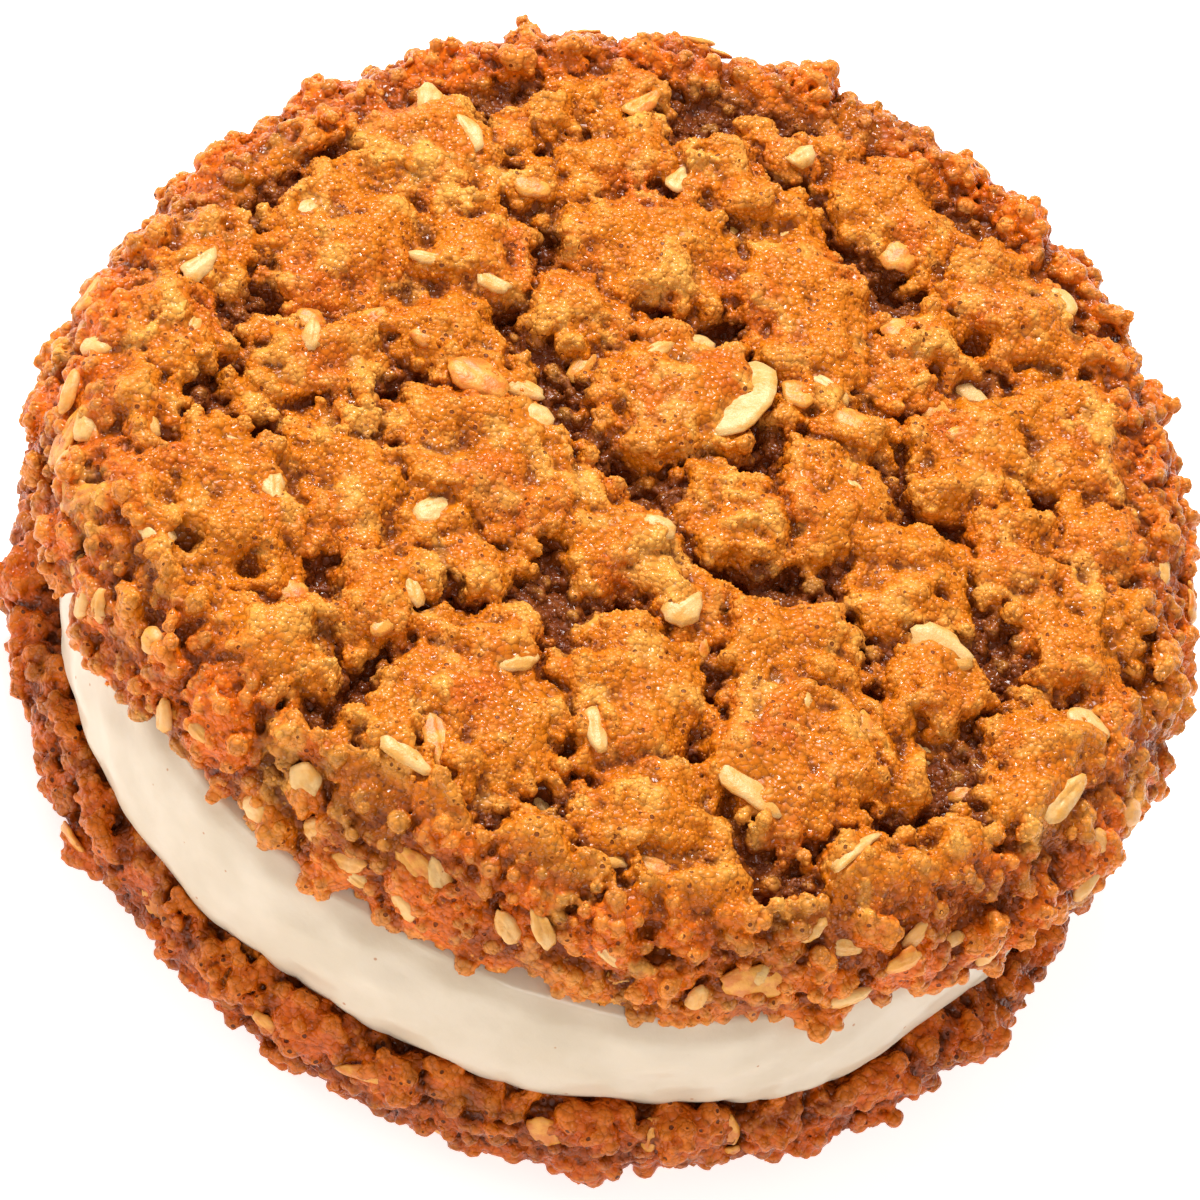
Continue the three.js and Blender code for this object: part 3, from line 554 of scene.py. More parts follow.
class Cookie:
    """One cookie in its own frame: crust up, flat side on z = 0, in millimetres."""

    def __init__(self, radius, thickness, tuck, waves, seed, rests, **crust):
        self.radius, self.thickness, self.waves, self.rests = radius, thickness, waves, rests
        self.table = profile_table(radius, thickness, tuck)
        layers = crust_maps(seed=seed, **crust)
        self.relief, self.inside, self.tone, self.oat, self.brown, self.bed = layers
        self.lumps = {name: Lumps(size, seed + own) for name, (size, own) in GRIDS.items()}
        self.flat = thickness + CROWN - REST_PRESS
        self.far_rim = NEAR_RIM if rests else FAR_RIM
        for name, (least, most) in BALLS.items():
            lumps = self.lumps[name]
            middles = lumps.middles()
            form, facts = self.form(middles, middles[:, 0], middles[:, 1])
            sound = (form < -0.07) & (facts["open"] > 0.35) & (facts["bed"] < 0.3) & (middles[:, 2] > 0.1)
            lumps.radius = np.where(sound, mix(least, most, lumps.tone), np.float32(GONE))

    def body(self, x, y, z):
        """Distance to the smooth body, share of the way to the edge, distance from the middle."""
        r = np.sqrt(x * x + y * y)
        edge = outline(self.radius, self.waves, np.arctan2(y, x)).astype(np.float32)
        away = look_up(self.table, TABLE_LOW, TABLE_STEP, np.maximum(r - edge + self.radius, 0), z)
        return away, r / edge, r

    def coarse(self, x, y, z):
        """The distance with plates but no crumb, to find where the surface runs."""
        away, share, r = self.body(x, y, z)
        face = look_up(self.relief, MAP_LOW, MAP_STEP, x, y)
        return away - mix(face, 0.0, self.rim(share, y)) * self.calm(r, z)

    def rim(self, share, y):
        """0 on the plates and 1 on the lumpy rim, which is broader at the far side."""
        start = mix(NEAR_RIM, self.far_rim, smooth(*RIM_BROADENS, y))
        return smooth(start - 0.04, start + 0.04, share)

    def calm(self, r, z):
        """0 on the flat baked side and on the pressed spot, 1 elsewhere."""
        calm = smooth(-0.1, 0.5, z)
        if self.rests:
            calm = calm * smooth(0.5 * REST_RADIUS, REST_RADIUS, r)
        return calm

    def form(self, points, wx, wy):
        """The distance with plates, clumps and knobs, and facts of each place; maps are read at wx, wy."""
        x, y, z = points.T
        away, share, r = self.body(x, y, z)
        rim = self.rim(share, y)
        maps = (self.inside, self.relief, self.bed)
        inside, relief, bed = (look_up(table, MAP_LOW, MAP_STEP, wx, wy) for table in maps)
        open_crumb = np.maximum(smooth(0.3, -0.5, inside) * (1 - rim), 0.85 * rim)
        height = mix(0.5, 0.8, open_crumb) + 0.2 * rim
        knob = (dome(self.lumps["knob"].at(points)[0]) - DOME_MEAN) * height * (1 - 0.8 * bed)
        near, gap, _, own = self.lumps["clump"].at(points)
        clump = CLUMP_HEIGHT * (np.clip(1.6 * gap, 0.15, 1) * (1 - 0.35 * near) - 0.58)
        lift = (mix(relief, clump, rim) + knob) * self.calm(r, z)
        # The notch between two clumps of the rim, where the crust finish paints shade.
        notch_shade = smooth(0.28, 0.02, gap) * rim
        facts = {"open": open_crumb, "bed": bed, "inside": inside, "rim": rim, "notch_shade": notch_shade, "own": own}
        return away - lift, facts

    def fine(self, points):
        """The distance with all the crumb, and what the finishes need to know about each place."""
        x, y, z = points.T
        near, _, middle, tone = self.lumps["crumb"].at(points)
        wx, wy = mix(x, middle[:, 0], 0.4), mix(y, middle[:, 1], 0.4)
        grain_near, _, grain_middle, _ = self.lumps["grain"].at(points)
        wx, wy = mix(wx, grain_middle[:, 0], 0.6), mix(wy, grain_middle[:, 1], 0.6)
        away, facts = self.form(points, wx, wy)
        above = smooth(-0.3, 0.5, z)
        clear = 1 - 0.8 * facts["bed"]
        crumb = CRUMB_HEIGHT * (dome(near) - DOME_MEAN) * mix(0.45, 1.2, facts["open"]) * clear
        near = self.lumps["pebble"].at(points)[0]
        pebble = CRUMB_HEIGHT * (dome(near) - DOME_MEAN) * mix(0.55, 1.0, facts["open"]) * clear
        away = away + SINK * facts["open"] * above - (crumb + pebble) * above
        for name in BALLS:
            away = np.minimum(away, self.lumps[name].balls(points))
        away = away - GRAIN_HEIGHT * (dome(grain_near) - DOME_MEAN) * above
        if self.rests:
            away = np.maximum(away, z - self.flat)
        for name, table in (("oat", self.oat), ("brown", self.brown)):
            facts[name] = look_up(table, MAP_LOW, MAP_STEP, wx, wy)
        facts["tone"] = tone
        return away, facts


def dome(near):
    """A rounded grain: 1 over its middle, falling like a ball to its edge."""
    return np.sqrt(np.clip(1 - (near / GRAIN_REACH) ** 2, 0, 1))


# %% [markdown]
# ## From space to a mesh
#
# The distances are worked out on a grid of small cubes, and only near the surface,
# which is where it matters. OpenVDB then lays a mesh through distance 0: it closes by
# itself and takes undercuts and pits that a displaced sphere would fold on. A mesh
# that fine is heavy, so each cookie is made in a few pieces. Beyond their common
# border both pieces run on a little and dip, each under the other, and no joint shows.

# %% Space
# All in mm but the shares of the radius.
BAND = (1.5, 1.95)  # how far from the smooth surface the crumb can reach, on the face and on the rim
RIM_BAND = 0.8  # share of the radius beyond which the second of them holds
MARGIN = 2.2  # room round the smooth surface
OVERLAP = 0.6  # how far a piece runs on past its border
DIP = 0.3  # and how deep it dips there
FOLD_REACH, DEEP_REACH = 0.8, 2.2  # what lies this near makes a fold, or a deep place
FLAT_REACH = 0.86  # share of the radius within which the flat side is hidden by the cream


class Space:
    """Distances to one cookie on a grid of cubes."""

    def __init__(self, cookie, step):
        self.cookie, self.step = cookie, step
        reach = cookie.radius + MARGIN
        self.low = np.array([-reach, -reach, -1.0])
        high = np.array([reach, reach, cookie.thickness + MARGIN])
        count = np.ceil((high - self.low) / step).astype(int)
        self.axes = [(a + step * np.arange(n)).astype(np.float32) for a, n in zip(self.low, count)]
        self.away = np.empty(count, np.float32)
        y, z = np.meshgrid(self.axes[1], self.axes[2], indexing="ij")
        for i, x in enumerate(self.axes[0]):
            self.away[i] = cookie.coarse(np.full_like(y, x), y, z)
        under = (np.hypot(self.axes[0][:, None, None], y) < FLAT_REACH * cookie.radius) & (z < 1)
        self.away = np.where(under, -z, self.away)
        on_rim = np.hypot(self.axes[0][:, None, None], y) > RIM_BAND * cookie.radius
        near = np.abs(self.away) < np.where(on_rim, *BAND[::-1])
        near &= ~under
        index = np.nonzero(near)
        points = np.stack([axis[i] for axis, i in zip(self.axes, index)], 1)
        self.away[index] = cookie.fine(points)[0]
        solid = np.clip(0.5 - self.away / (2 * step), 0, 1)
        # How much dough lies round each place: the crust finish paints shade where there is much and light
        # where there is little.
        self.shelter = {reach: blur(solid, round(reach / step)) for reach in (FOLD_REACH, DEEP_REACH)}
        print(f"{len(points)} of {self.away.size} cubes lie near the surface")

    def sheltered(self, points, reach):
        """Share of dough round each point: over 0.5 in a crack or a pit, under 0.5 on a ridge."""
        index = np.rint((points - self.low) / self.step).astype(int)
        return self.shelter[reach][tuple(np.clip(index, 0, np.array(self.away.shape) - 1).T)]

    def piece(self, inside, adaptivity):
        """Corner points in mm and faces of the part where inside(x, y), in mm, is above 0."""
        x, y = np.meshgrid(self.axes[0], self.axes[1], indexing="ij")
        beyond = -inside(x, y)[..., None]
        away = np.maximum(self.away + DIP * smooth(0, OVERLAP, beyond), beyond - OVERLAP)
        grid = openvdb.FloatGrid(3.0)
        grid.copyFromArray(np.clip(away, -3 * self.step, 3 * self.step))
        points, threes, fours = grid.convertToPolygons(isovalue=0.0, adaptivity=adaptivity)
        return largest(points * self.step + self.low, threes.astype(np.int64), fours.astype(np.int64))


def blur(values, reach):
    """The mean over a box of 2 x reach cubes, done twice along each axis."""
    for axis in (0, 1, 2, 0, 1, 2):
        pad = [(0, 0)] * 3
        pad[axis] = (reach + 1, reach)
        total = np.cumsum(np.pad(values, pad, mode="edge"), axis=axis, dtype=np.float32)
        high = np.take(total, range(2 * reach + 1, total.shape[axis]), axis=axis)
        low = np.take(total, range(0, total.shape[axis] - 2 * reach - 1), axis=axis)
        values = (high - low) / (2 * reach + 1)
    return values


def largest(points, threes, fours):
    """Keep the largest closed island: a crumb that hangs in the air is dropped."""
    ends = [threes[:, [0, 1]], threes[:, [1, 2]], fours[:, [0, 1]], fours[:, [1, 2]], fours[:, [2, 3]]]
    a, b = np.concatenate(ends).T
    label = np.arange(len(points))
    while True:
        low = np.minimum(label[a], label[b])
        new = label.copy()
        np.minimum.at(new, label[a], low)
        np.minimum.at(new, label[b], low)
        new = new[new]
        if (new == label).all():
            break
        label = new
    keep = label == np.bincount(label).argmax()
    index = np.cumsum(keep) - 1
    return points[keep], index[threes[keep[threes[:, 0]]]], index[fours[keep[fours[:, 0]]]]


# %% Mesh
DETAILED, PLAIN = 0.04, 0.5  # how freely flat neighbours are merged
HIDDEN = ("face_left", "face_right")  # parts of the lower cookie that lie on the table


def make_piece(name, points, threes, fours, layers=None):
    """A mesh object at the origin from points in mm, with one value per point for each layer."""
    points = np.asarray(points, np.float64) * MM
    mesh = bpy.data.meshes.new(name)
    mesh.vertices.add(len(points))
    mesh.vertices.foreach_set("co", points.astype(np.float32).ravel())
    loops = np.concatenate([threes.ravel(), fours.ravel()]).astype(np.int32)
    sizes = np.concatenate([np.full(len(threes), 3), np.full(len(fours), 4)])
    mesh.loops.add(len(loops))
    mesh.loops.foreach_set("vertex_index", loops)
    mesh.polygons.add(len(sizes))
    starts = np.concatenate([[0], np.cumsum(sizes)[:-1]])
    mesh.polygons.foreach_set("loop_start", starts.astype(np.int32))
    mesh.polygons.foreach_set("use_smooth", np.ones(len(sizes), bool))
    mesh.update(calc_edges=True)
    for layer, values in (layers or {}).items():
        kept = mesh.attributes.new(layer, "FLOAT", "POINT")
        kept.data.foreach_set("value", values.astype(np.float32))
    piece = bpy.data.objects.new(name, mesh)
    scene.collection.objects.link(piece)
    print(name, len(threes) + 2 * len(fours), "triangles")
    return piece


def crust_layers(space, points):
    """What the finish needs at every corner of a cookie's mesh."""
    cookie = space.cookie
    x, y, z = points.astype(np.float32).T
    share = cookie.body(x, y, z)[1]
    facts = cookie.fine(points.astype(np.float32))[1]
    # Shelter, from which the crust finish paints shade in folds and deep places and light on ridges.
    facts["fold"] = space.sheltered(points, FOLD_REACH)
    facts["deep"] = space.sheltered(points, DEEP_REACH)
    flat_side = smooth(0.6, 0.2, z) * smooth(0.97, 0.95, share)
    pressed = smooth(cookie.flat - 0.5, cookie.flat - 0.2, z) if cookie.rests else 0
    bed = smooth(0.2, 0.5, facts.pop("bed")) * (1 - facts["rim"])
    zone = mix(1.0, 0.25, facts["rim"]) * mix(1.0, 0.5, smooth(0.6, 0.75, facts["deep"]))
    facts["cover"] = zone * (1 - bed) * (1 - flat_side) * (1 - pressed)  # share of the granules that stay
    facts.pop("open")
    return facts


def crust_pieces(name, space, parts, place):
    """The meshes of one cookie, put where it lies in the pie."""
    made = []
    for part, inside in parts.items():
        hidden = space.cookie.rests and part in HIDDEN
        points, threes, fours = space.piece(inside, PLAIN if hidden else DETAILED)
        layers = crust_layers(space, points)
        made.append(make_piece(f"{name}_{part}", place(points), threes, fours, layers=layers))
    return made


# %% Upper cookie
CREAM_BASE = BOTTOM_THICKNESS + CROWN - REST_PRESS
CREAM_THICKNESS = 8.0
SEAM = 0.3  # mm between the cream and each cookie in the solids
UPPER_BASE = CREAM_BASE + CREAM_THICKNESS + 2 * SEAM
TURNED = np.array([1, -1, -1])  # upside down, half a turn about x
STEP = 0.24
FACE_REACH = 30.5  # mm from the middle to the border between face and rim
FACE_SIDES = 12

upper = Cookie(
    TOP_RADIUS, TOP_THICKNESS, TOP_TUCK, TOP_WAVES, 7, False,
    plates=TOP_PLATES, oats=OATS, buried=BURIED, toasted=TOASTED, holes=HOLES,
)


def face(x, y):
    """How far inside the border between face and rim a place lies, in mm: a figure of straight sides."""
    sides = [2 * math.pi * n / FACE_SIDES for n in range(FACE_SIDES)]
    return FACE_REACH - np.max([x * math.cos(a) + y * math.sin(a) for a in sides], axis=0)


PARTS = {
    "face_left": lambda x, y: np.minimum(face(x, y), -x),
    "face_right": lambda x, y: np.minimum(face(x, y), x),
    "rim_front": lambda x, y: np.minimum(-face(x, y), -y),
    "rim_back": lambda x, y: np.minimum(-face(x, y), y),
}
upper_space = Space(upper, STEP)
upper_pieces = crust_pieces("upper_crust", upper_space, PARTS, lambda p: p + [0, 0, UPPER_BASE])

# %% Lower cookie
lower = Cookie(
    BOTTOM_RADIUS, BOTTOM_THICKNESS, BOTTOM_TUCK, BOTTOM_WAVES, 23, True,
    plates=ruled_plates(BOTTOM_RADIUS, 3),
)
lower_space = Space(lower, STEP)
lower_pieces = crust_pieces("lower_crust", lower_space, PARTS, lambda p: p * TURNED + [0, 0, CREAM_BASE])

# %% [markdown]
# ## The cream
#
# The filling was pressed out by the upper cookie, so its edge bulges, draws in under
# that cookie and stands on the lower one with a shallow scalloped foot. It is
# lofted: one curve up the side, carried round the wavy outline, with long ripples
# where the cream was smeared. Its flat faces sink a little into both cookies.

# %% Cream
# [share of the height, mm that the side is drawn in]
CREAM_CURVE = [[0.0, 1.0], [0.12, 0.25], [0.34, 0.0], [0.6, 0.15], [0.86, 0.8], [1.0, 1.8]]
CREAM_SINK = 0.45  # mm
CREAM_ROUND = 720  # points round the edge
CREAM_UP = 28  # and up the side
# Ripples: seed, how many, the most waves that one has round the edge, height in mm.
BROAD_RIPPLES, FINE_RIPPLES = (5, 10, 14, 0.14), (6, 12, 45, 0.08)
FOOT_WAVES, FOOT_SCALLOPS = (8, 9, 26, 0.22), (9, 6, 60, 1.0)
FOOT_HEIGHT = 0.18  # share of the cream's height
FOOT_SINK = 0.1  # mm


def waves_along(angle, height, seed, count, most, amplitude):
    """Soft ripples that run round the cream, each a little tilted."""
    draw = np.random.default_rng(seed)
    total = np.zeros_like(angle)
    for _ in range(count):
        turns = draw.integers(2, most)
        tilt = draw.uniform(1.5, 6) * height * draw.choice([-1, 1])
        total += np.sin(turns * angle + tilt + draw.uniform(0, TURN))
    return amplitude * total / math.sqrt(count)


def make_cream():
    """The layer of cream between the two cookies."""
    share = np.linspace(0, 1, CREAM_UP)
    curve = np.array(CREAM_CURVE)
    drawn = np.interp(share, curve[:, 0], curve[:, 1])
    kernel = np.array([1, 2, 3, 2, 1]) / 9
    drawn = np.convolve(np.pad(drawn, 2, mode="edge"), kernel, "valid")
    angle = np.linspace(0, 2 * math.pi, CREAM_ROUND, endpoint=False)
    a, u = np.meshgrid(angle, share, indexing="ij")
    reach = outline(CREAM_RADIUS, CREAM_WAVES, a) - drawn[None, :]
    reach += waves_along(a, u, *BROAD_RIPPLES) + waves_along(a, 3 * u, *FINE_RIPPLES)
    scallop = waves_along(a, 0 * u, *FOOT_WAVES) + 0.12 * np.abs(waves_along(a, 0 * u, *FOOT_SCALLOPS))
    reach += scallop * np.exp(-((u / FOOT_HEIGHT) ** 2))
    bottom = CREAM_BASE - FOOT_SINK
    top = UPPER_BASE + CREAM_SINK
    z = bottom + (top - bottom) * u
    side = np.stack([reach * np.cos(a), reach * np.sin(a), z], -1).reshape(-1, 3)
    middle = [[0, 0, CREAM_BASE - CREAM_SINK], [0, 0, top]]
    ring = np.arange(CREAM_ROUND)
    following = (ring + 1) % CREAM_ROUND
    rows = np.arange(CREAM_UP - 1)
    i, j = np.meshgrid(ring, rows, indexing="ij")
    here, there = i * CREAM_UP + j, following[i] * CREAM_UP + j
    fours = np.stack([here, there, there + 1, here + 1], -1).reshape(-1, 4)
    under = np.stack([following * CREAM_UP, ring * CREAM_UP, np.full_like(ring, len(side))], -1)
    here, there = ring * CREAM_UP + CREAM_UP - 1, following * CREAM_UP + CREAM_UP - 1
    over = np.stack([here, there, np.full_like(ring, len(side) + 1)], -1)
    return np.concatenate([side, middle]), np.concatenate([under, over]), fours


cream_piece = make_piece("cream_layer", *make_cream())

# %% [markdown]
# ## Rolled oats
#
# A rolled oat is a grain that was steamed and pressed flat: an oval flake about half
# a millimetre thick, with the grain's groove along its middle and a thin, cracked
# rim. The flakes lie half in the dough, some tipped so that only a bright crescent
# shows. A nugget is a short, thicker bit. The list gives the larger ones that the
# photograph shows; the small ones and those at the back follow a rule.

# %% Oat flake
FLAKE_RINGS = 5
FLAKE_SIDES = 22
TAPER = 0.18  # how much narrower one end is
GROOVE = 0.14  # half its width, in half widths of the flake


def flake(length, width, thickness, draw):
    """One rolled oat round its own middle, in mm: length along x, flat in z."""
    angle = np.linspace(0, 2 * math.pi, FLAKE_SIDES, endpoint=False)
    ragged = 1 + sum(
        draw.uniform(0.01, 0.07) * np.sin(n * angle + draw.uniform(0, TURN)) for n in (2, 3, 5, 8)
    )
    share = np.linspace(0, 1, FLAKE_RINGS + 1)[1:]
    a, r = np.meshgrid(angle, share, indexing="ij")
    reach = r * ragged[:, None]
    x, y = reach * np.cos(a), reach * np.sin(a)
    y *= 1 - TAPER * x
    thick = thickness * (0.35 + 0.65 * np.sqrt(np.clip(1 - r**3, 0, 1)))
    groove = -draw.uniform(0, 0.13) * np.exp(-((y / GROOVE) ** 2)) * (1 - r**2)
    wrinkle = 0.05 * np.sin(9 * y + 2 * x + draw.uniform(0, TURN)) * (1 - 0.4 * r)
    cup, bend, curl = draw.uniform(-0.3, -0.05), draw.uniform(-0.3, 0.1), draw.uniform(-0.15, 0.15)
    lift = cup * y**2 + bend * x**2 + curl * x * y
    sheets = []
    for side in (1, -1):
        z = lift + side * thick / 2 + (groove + wrinkle if side > 0 else 0)
        sheet = np.stack([x * length / 2, y * width / 2, z], -1).reshape(-1, 3)
        middle = [[0, 0, side * thickness / 2]]
        sheets.append(np.concatenate([middle, sheet]))
    count = 1 + FLAKE_SIDES * FLAKE_RINGS
    i = np.arange(FLAKE_SIDES)
    k = (i + 1) % FLAKE_SIDES
    hub = np.stack([np.zeros_like(i), 1 + i * FLAKE_RINGS, 1 + k * FLAKE_RINGS], -1)
    i, j = np.meshgrid(i, np.arange(FLAKE_RINGS - 1), indexing="ij")
    k = (i + 1) % FLAKE_SIDES
    i, k = 1 + i * FLAKE_RINGS + j, 1 + k * FLAKE_RINGS + j
    web = np.stack([i, i + 1, k + 1, k], -1).reshape(-1, 4)
    last = 1 + np.arange(FLAKE_SIDES) * FLAKE_RINGS + FLAKE_RINGS - 1
    after = np.roll(last, -1)
    rim = np.stack([last, last + count, after + count, after], -1)
    threes = np.concatenate([hub, hub[:, ::-1] + count])
    fours = np.concatenate([web, web[:, ::-1] + count, rim])
    return np.concatenate(sheets), threes, fours


RAY = 60  # mm that a line is followed
NUDGE = 0.8  # mm to each side over which the slope is measured


def meet(space, start, way):
    """March from start along way to the surface of a cookie: the point and the outward normal, or None."""
    start, way = np.asarray(start, float), np.asarray(way, float)
    steps = np.arange(0, RAY, space.step / 2)
    places = start + steps[:, None] * way
    index = np.rint((places - space.low) / space.step).astype(int)
    index = np.clip(index, 0, np.array(space.away.shape) - 1)
    hit = np.argmax(space.away[tuple(index.T)] < 0)
    if hit == 0:
        return None
    point = places[hit]
    spots = np.array([point + NUDGE * side * axis for axis in np.eye(3) for side in (1, -1)], np.float32)
    slopes = space.cookie.body(*spots.T)[0]
    normal = slopes[::2] - slopes[1::2]
    return point, normal / np.linalg.norm(normal)


# How each kind lies: least and most tilt in degrees, height of its middle over the crust, how bare
# it is, how thick it is in mm.
LIE = {
    FLAT: (2, 7, 0.0, 0.9, 0.45), TIPPED: (12, 20, -0.1, 1.0, 0.45),
    TIPPED_BACK: (12, 20, -0.1, 1.0, 0.45), EDGE: (48, 58, -0.3, 1.0, 0.45),
    DUSTED: (2, 8, -0.06, 0.45, 0.45), NUGGET: (5, 25, 0.0, 0.75, 0.7),
}
FLAKE_TOP = 11.7  # no flake reaches higher over the baked side of the upper cookie


def lay(space, start, way, size, turn, kind, draw):
    """One flake laid on a cookie where a line from start meets it, or None where it passes over."""
    found = meet(space, start, way)
    if found is None:
        return None
    point, normal = found
    least, most, stand, bare, thickness = LIE[kind]
    tilt = math.radians(draw.uniform(least, most))
    normal = Vector(normal)
    along = Vector((math.cos(turn), math.sin(turn), 0))
    if abs(normal.z) < 0.5:
        along = normal.cross(Vector((0, 0, 1))) * math.cos(turn) + Vector((0, 0, 1)) * math.sin(turn)
    over = normal.cross(along).normalized()
    along = over.cross(normal)
    if (over.y > 0) == (kind != TIPPED_BACK):
        tilt = -tilt
    pose = Matrix((along, over, normal)).transposed() @ Matrix.Rotation(tilt, 3, "X")
    points, threes, fours = flake(*size, thickness, draw)
    placed = points @ np.array(pose).T + point + np.array(normal) * stand
    top = space.cookie.flat if space.cookie.rests else FLAKE_TOP
    placed[:, 2] -= max(0, placed[:, 2].max() - top)
    return placed, threes, fours, np.full(len(points), bare * draw.uniform(0.8, 1.0))


def join(shapes):
    """Many small meshes as one: points, faces of three and of four corners, and how bare each point is."""
    points, threes, fours, bare = zip(*[shape for shape in shapes if shape])
    start = np.cumsum([0] + [len(p) for p in points[:-1]])
    threes = [faces + first for faces, first in zip(threes, start)]
    fours = [faces + first for faces, first in zip(fours, start)]
    return [np.concatenate(part) for part in (points, threes, fours, bare)]


FACE_OATS = 31  # mm from the middle, how far out the oats on a face lie at most
OUTSIDE = 43  # mm from the middle, beyond every rim
OVERHEAD = 14  # mm over the flat side, above every crust


def round_the_side(space, angles, heights, longs, wides, kind, draw):
    """Flakes in the rim, one at each angle."""
    for angle in angles:
        height = draw.uniform(*heights)
        out = np.array([math.cos(angle), math.sin(angle), 0])
        size = (draw.uniform(*longs), draw.uniform(*wides))
        yield lay(space, out * OUTSIDE + [0, 0, height], -out, size, draw.uniform(0, HALF_TURN), kind, draw)


def over_the_face(space, reaches, longs, wides, kinds, draw):
    """Flakes on the face, one of each kind, at any angle and the next of the reaches."""
    for kind in kinds:
        angle, r = draw.uniform(0, TURN), next(reaches)
        size = (draw.uniform(*longs), draw.uniform(*wides))
        start = (r * math.cos(angle), r * math.sin(angle), OVERHEAD)
        yield lay(space, start, (0, 0, -1), size, draw.uniform(0, HALF_TURN), kind, draw)


def oats_on_upper():
    """The listed oats, then more in the rim behind and before, and on the face."""
    draw = np.random.default_rng(31)
    for x, y, length, width, turn, kind in OATS:
        turn = math.radians(turn)
        yield lay(upper_space, (x, y, OVERHEAD), (0, 0, -1), (length, width), turn, kind, draw)
    behind = (math.radians(draw.uniform(5, 215)) for _ in range(26))
    yield from round_the_side(upper_space, behind, (1.5, 8), (2.2, 4.2), (1.3, 2.4), DUSTED, draw)
    before = (math.radians(mix(190, 352, (n + draw.random()) / 30)) for n in range(30))
    yield from round_the_side(upper_space, before, (2.5, 8.2), (1.6, 3.0), (1.1, 1.9), NUGGET, draw)
    anywhere = (FACE_OATS * math.sqrt(draw.random()) for _ in range(18))
    yield from over_the_face(upper_space, anywhere, (2.0, 3.4), (1.2, 2.2), [DUSTED, FLAT, FLAT] * 6, draw)


def oats_on_lower():
    """Oats about the rim, and on the face round the spot that the pie rests on."""
    draw = np.random.default_rng(32)
    about = (2 * math.pi * (n + draw.random()) / 46 for n in range(46))
    yield from round_the_side(lower_space, about, (1.5, 8), (2.0, 3.8), (1.2, 2.2), DUSTED, draw)
    around = (draw.uniform(REST_RADIUS + 3, FACE_OATS) for _ in range(24))
    yield from over_the_face(lower_space, around, (2.4, 4.4), (1.5, 2.6), [DUSTED] * 24, draw)


points, threes, fours, bare = join(oats_on_upper())
upper_oats = make_piece("upper_oats", points + [0, 0, UPPER_BASE], threes, fours, layers={"bare": bare})
points, threes, fours, bare = join(oats_on_lower())
points = points * TURNED + [0, 0, CREAM_BASE]
lower_oats = make_piece("lower_oats", points, threes, fours, layers={"bare": bare})

# %% [markdown]
# ## A small language for finishes
#
# A finish is a graph of nodes, but most of it is sums. The class below wraps a
# socket, so that a sum written in Python adds its Math nodes, and one method adds any
# other node.

# %% Finish
class Wire:
    """A node's output that can stand in a sum."""

    def __init__(self, finish, socket):
        self.finish = finish
        self.socket = socket

    def sum(self, operation, *values):
        """A Math node."""
        return self.finish.node("ShaderNodeMath", {"operation": operation}, dict(enumerate(values)))

    def __add__(self, other):
        return self.sum("ADD", self, other)

    def __sub__(self, other):
        return self.sum("SUBTRACT", self, other)

    def __rsub__(self, other):
        return self.sum("SUBTRACT", other, self)

    def __mul__(self, other):
        return self.sum("MULTIPLY", self, other)

    __radd__ = __add__
    __rmul__ = __mul__

    def step(self, low, high):
        """0 below low, 1 above high, soft between."""
        values = {"Value": self, "From Min": low, "From Max": high}
        return self.finish.node("ShaderNodeMapRange", {"interpolation_type": "SMOOTHSTEP"}, values)


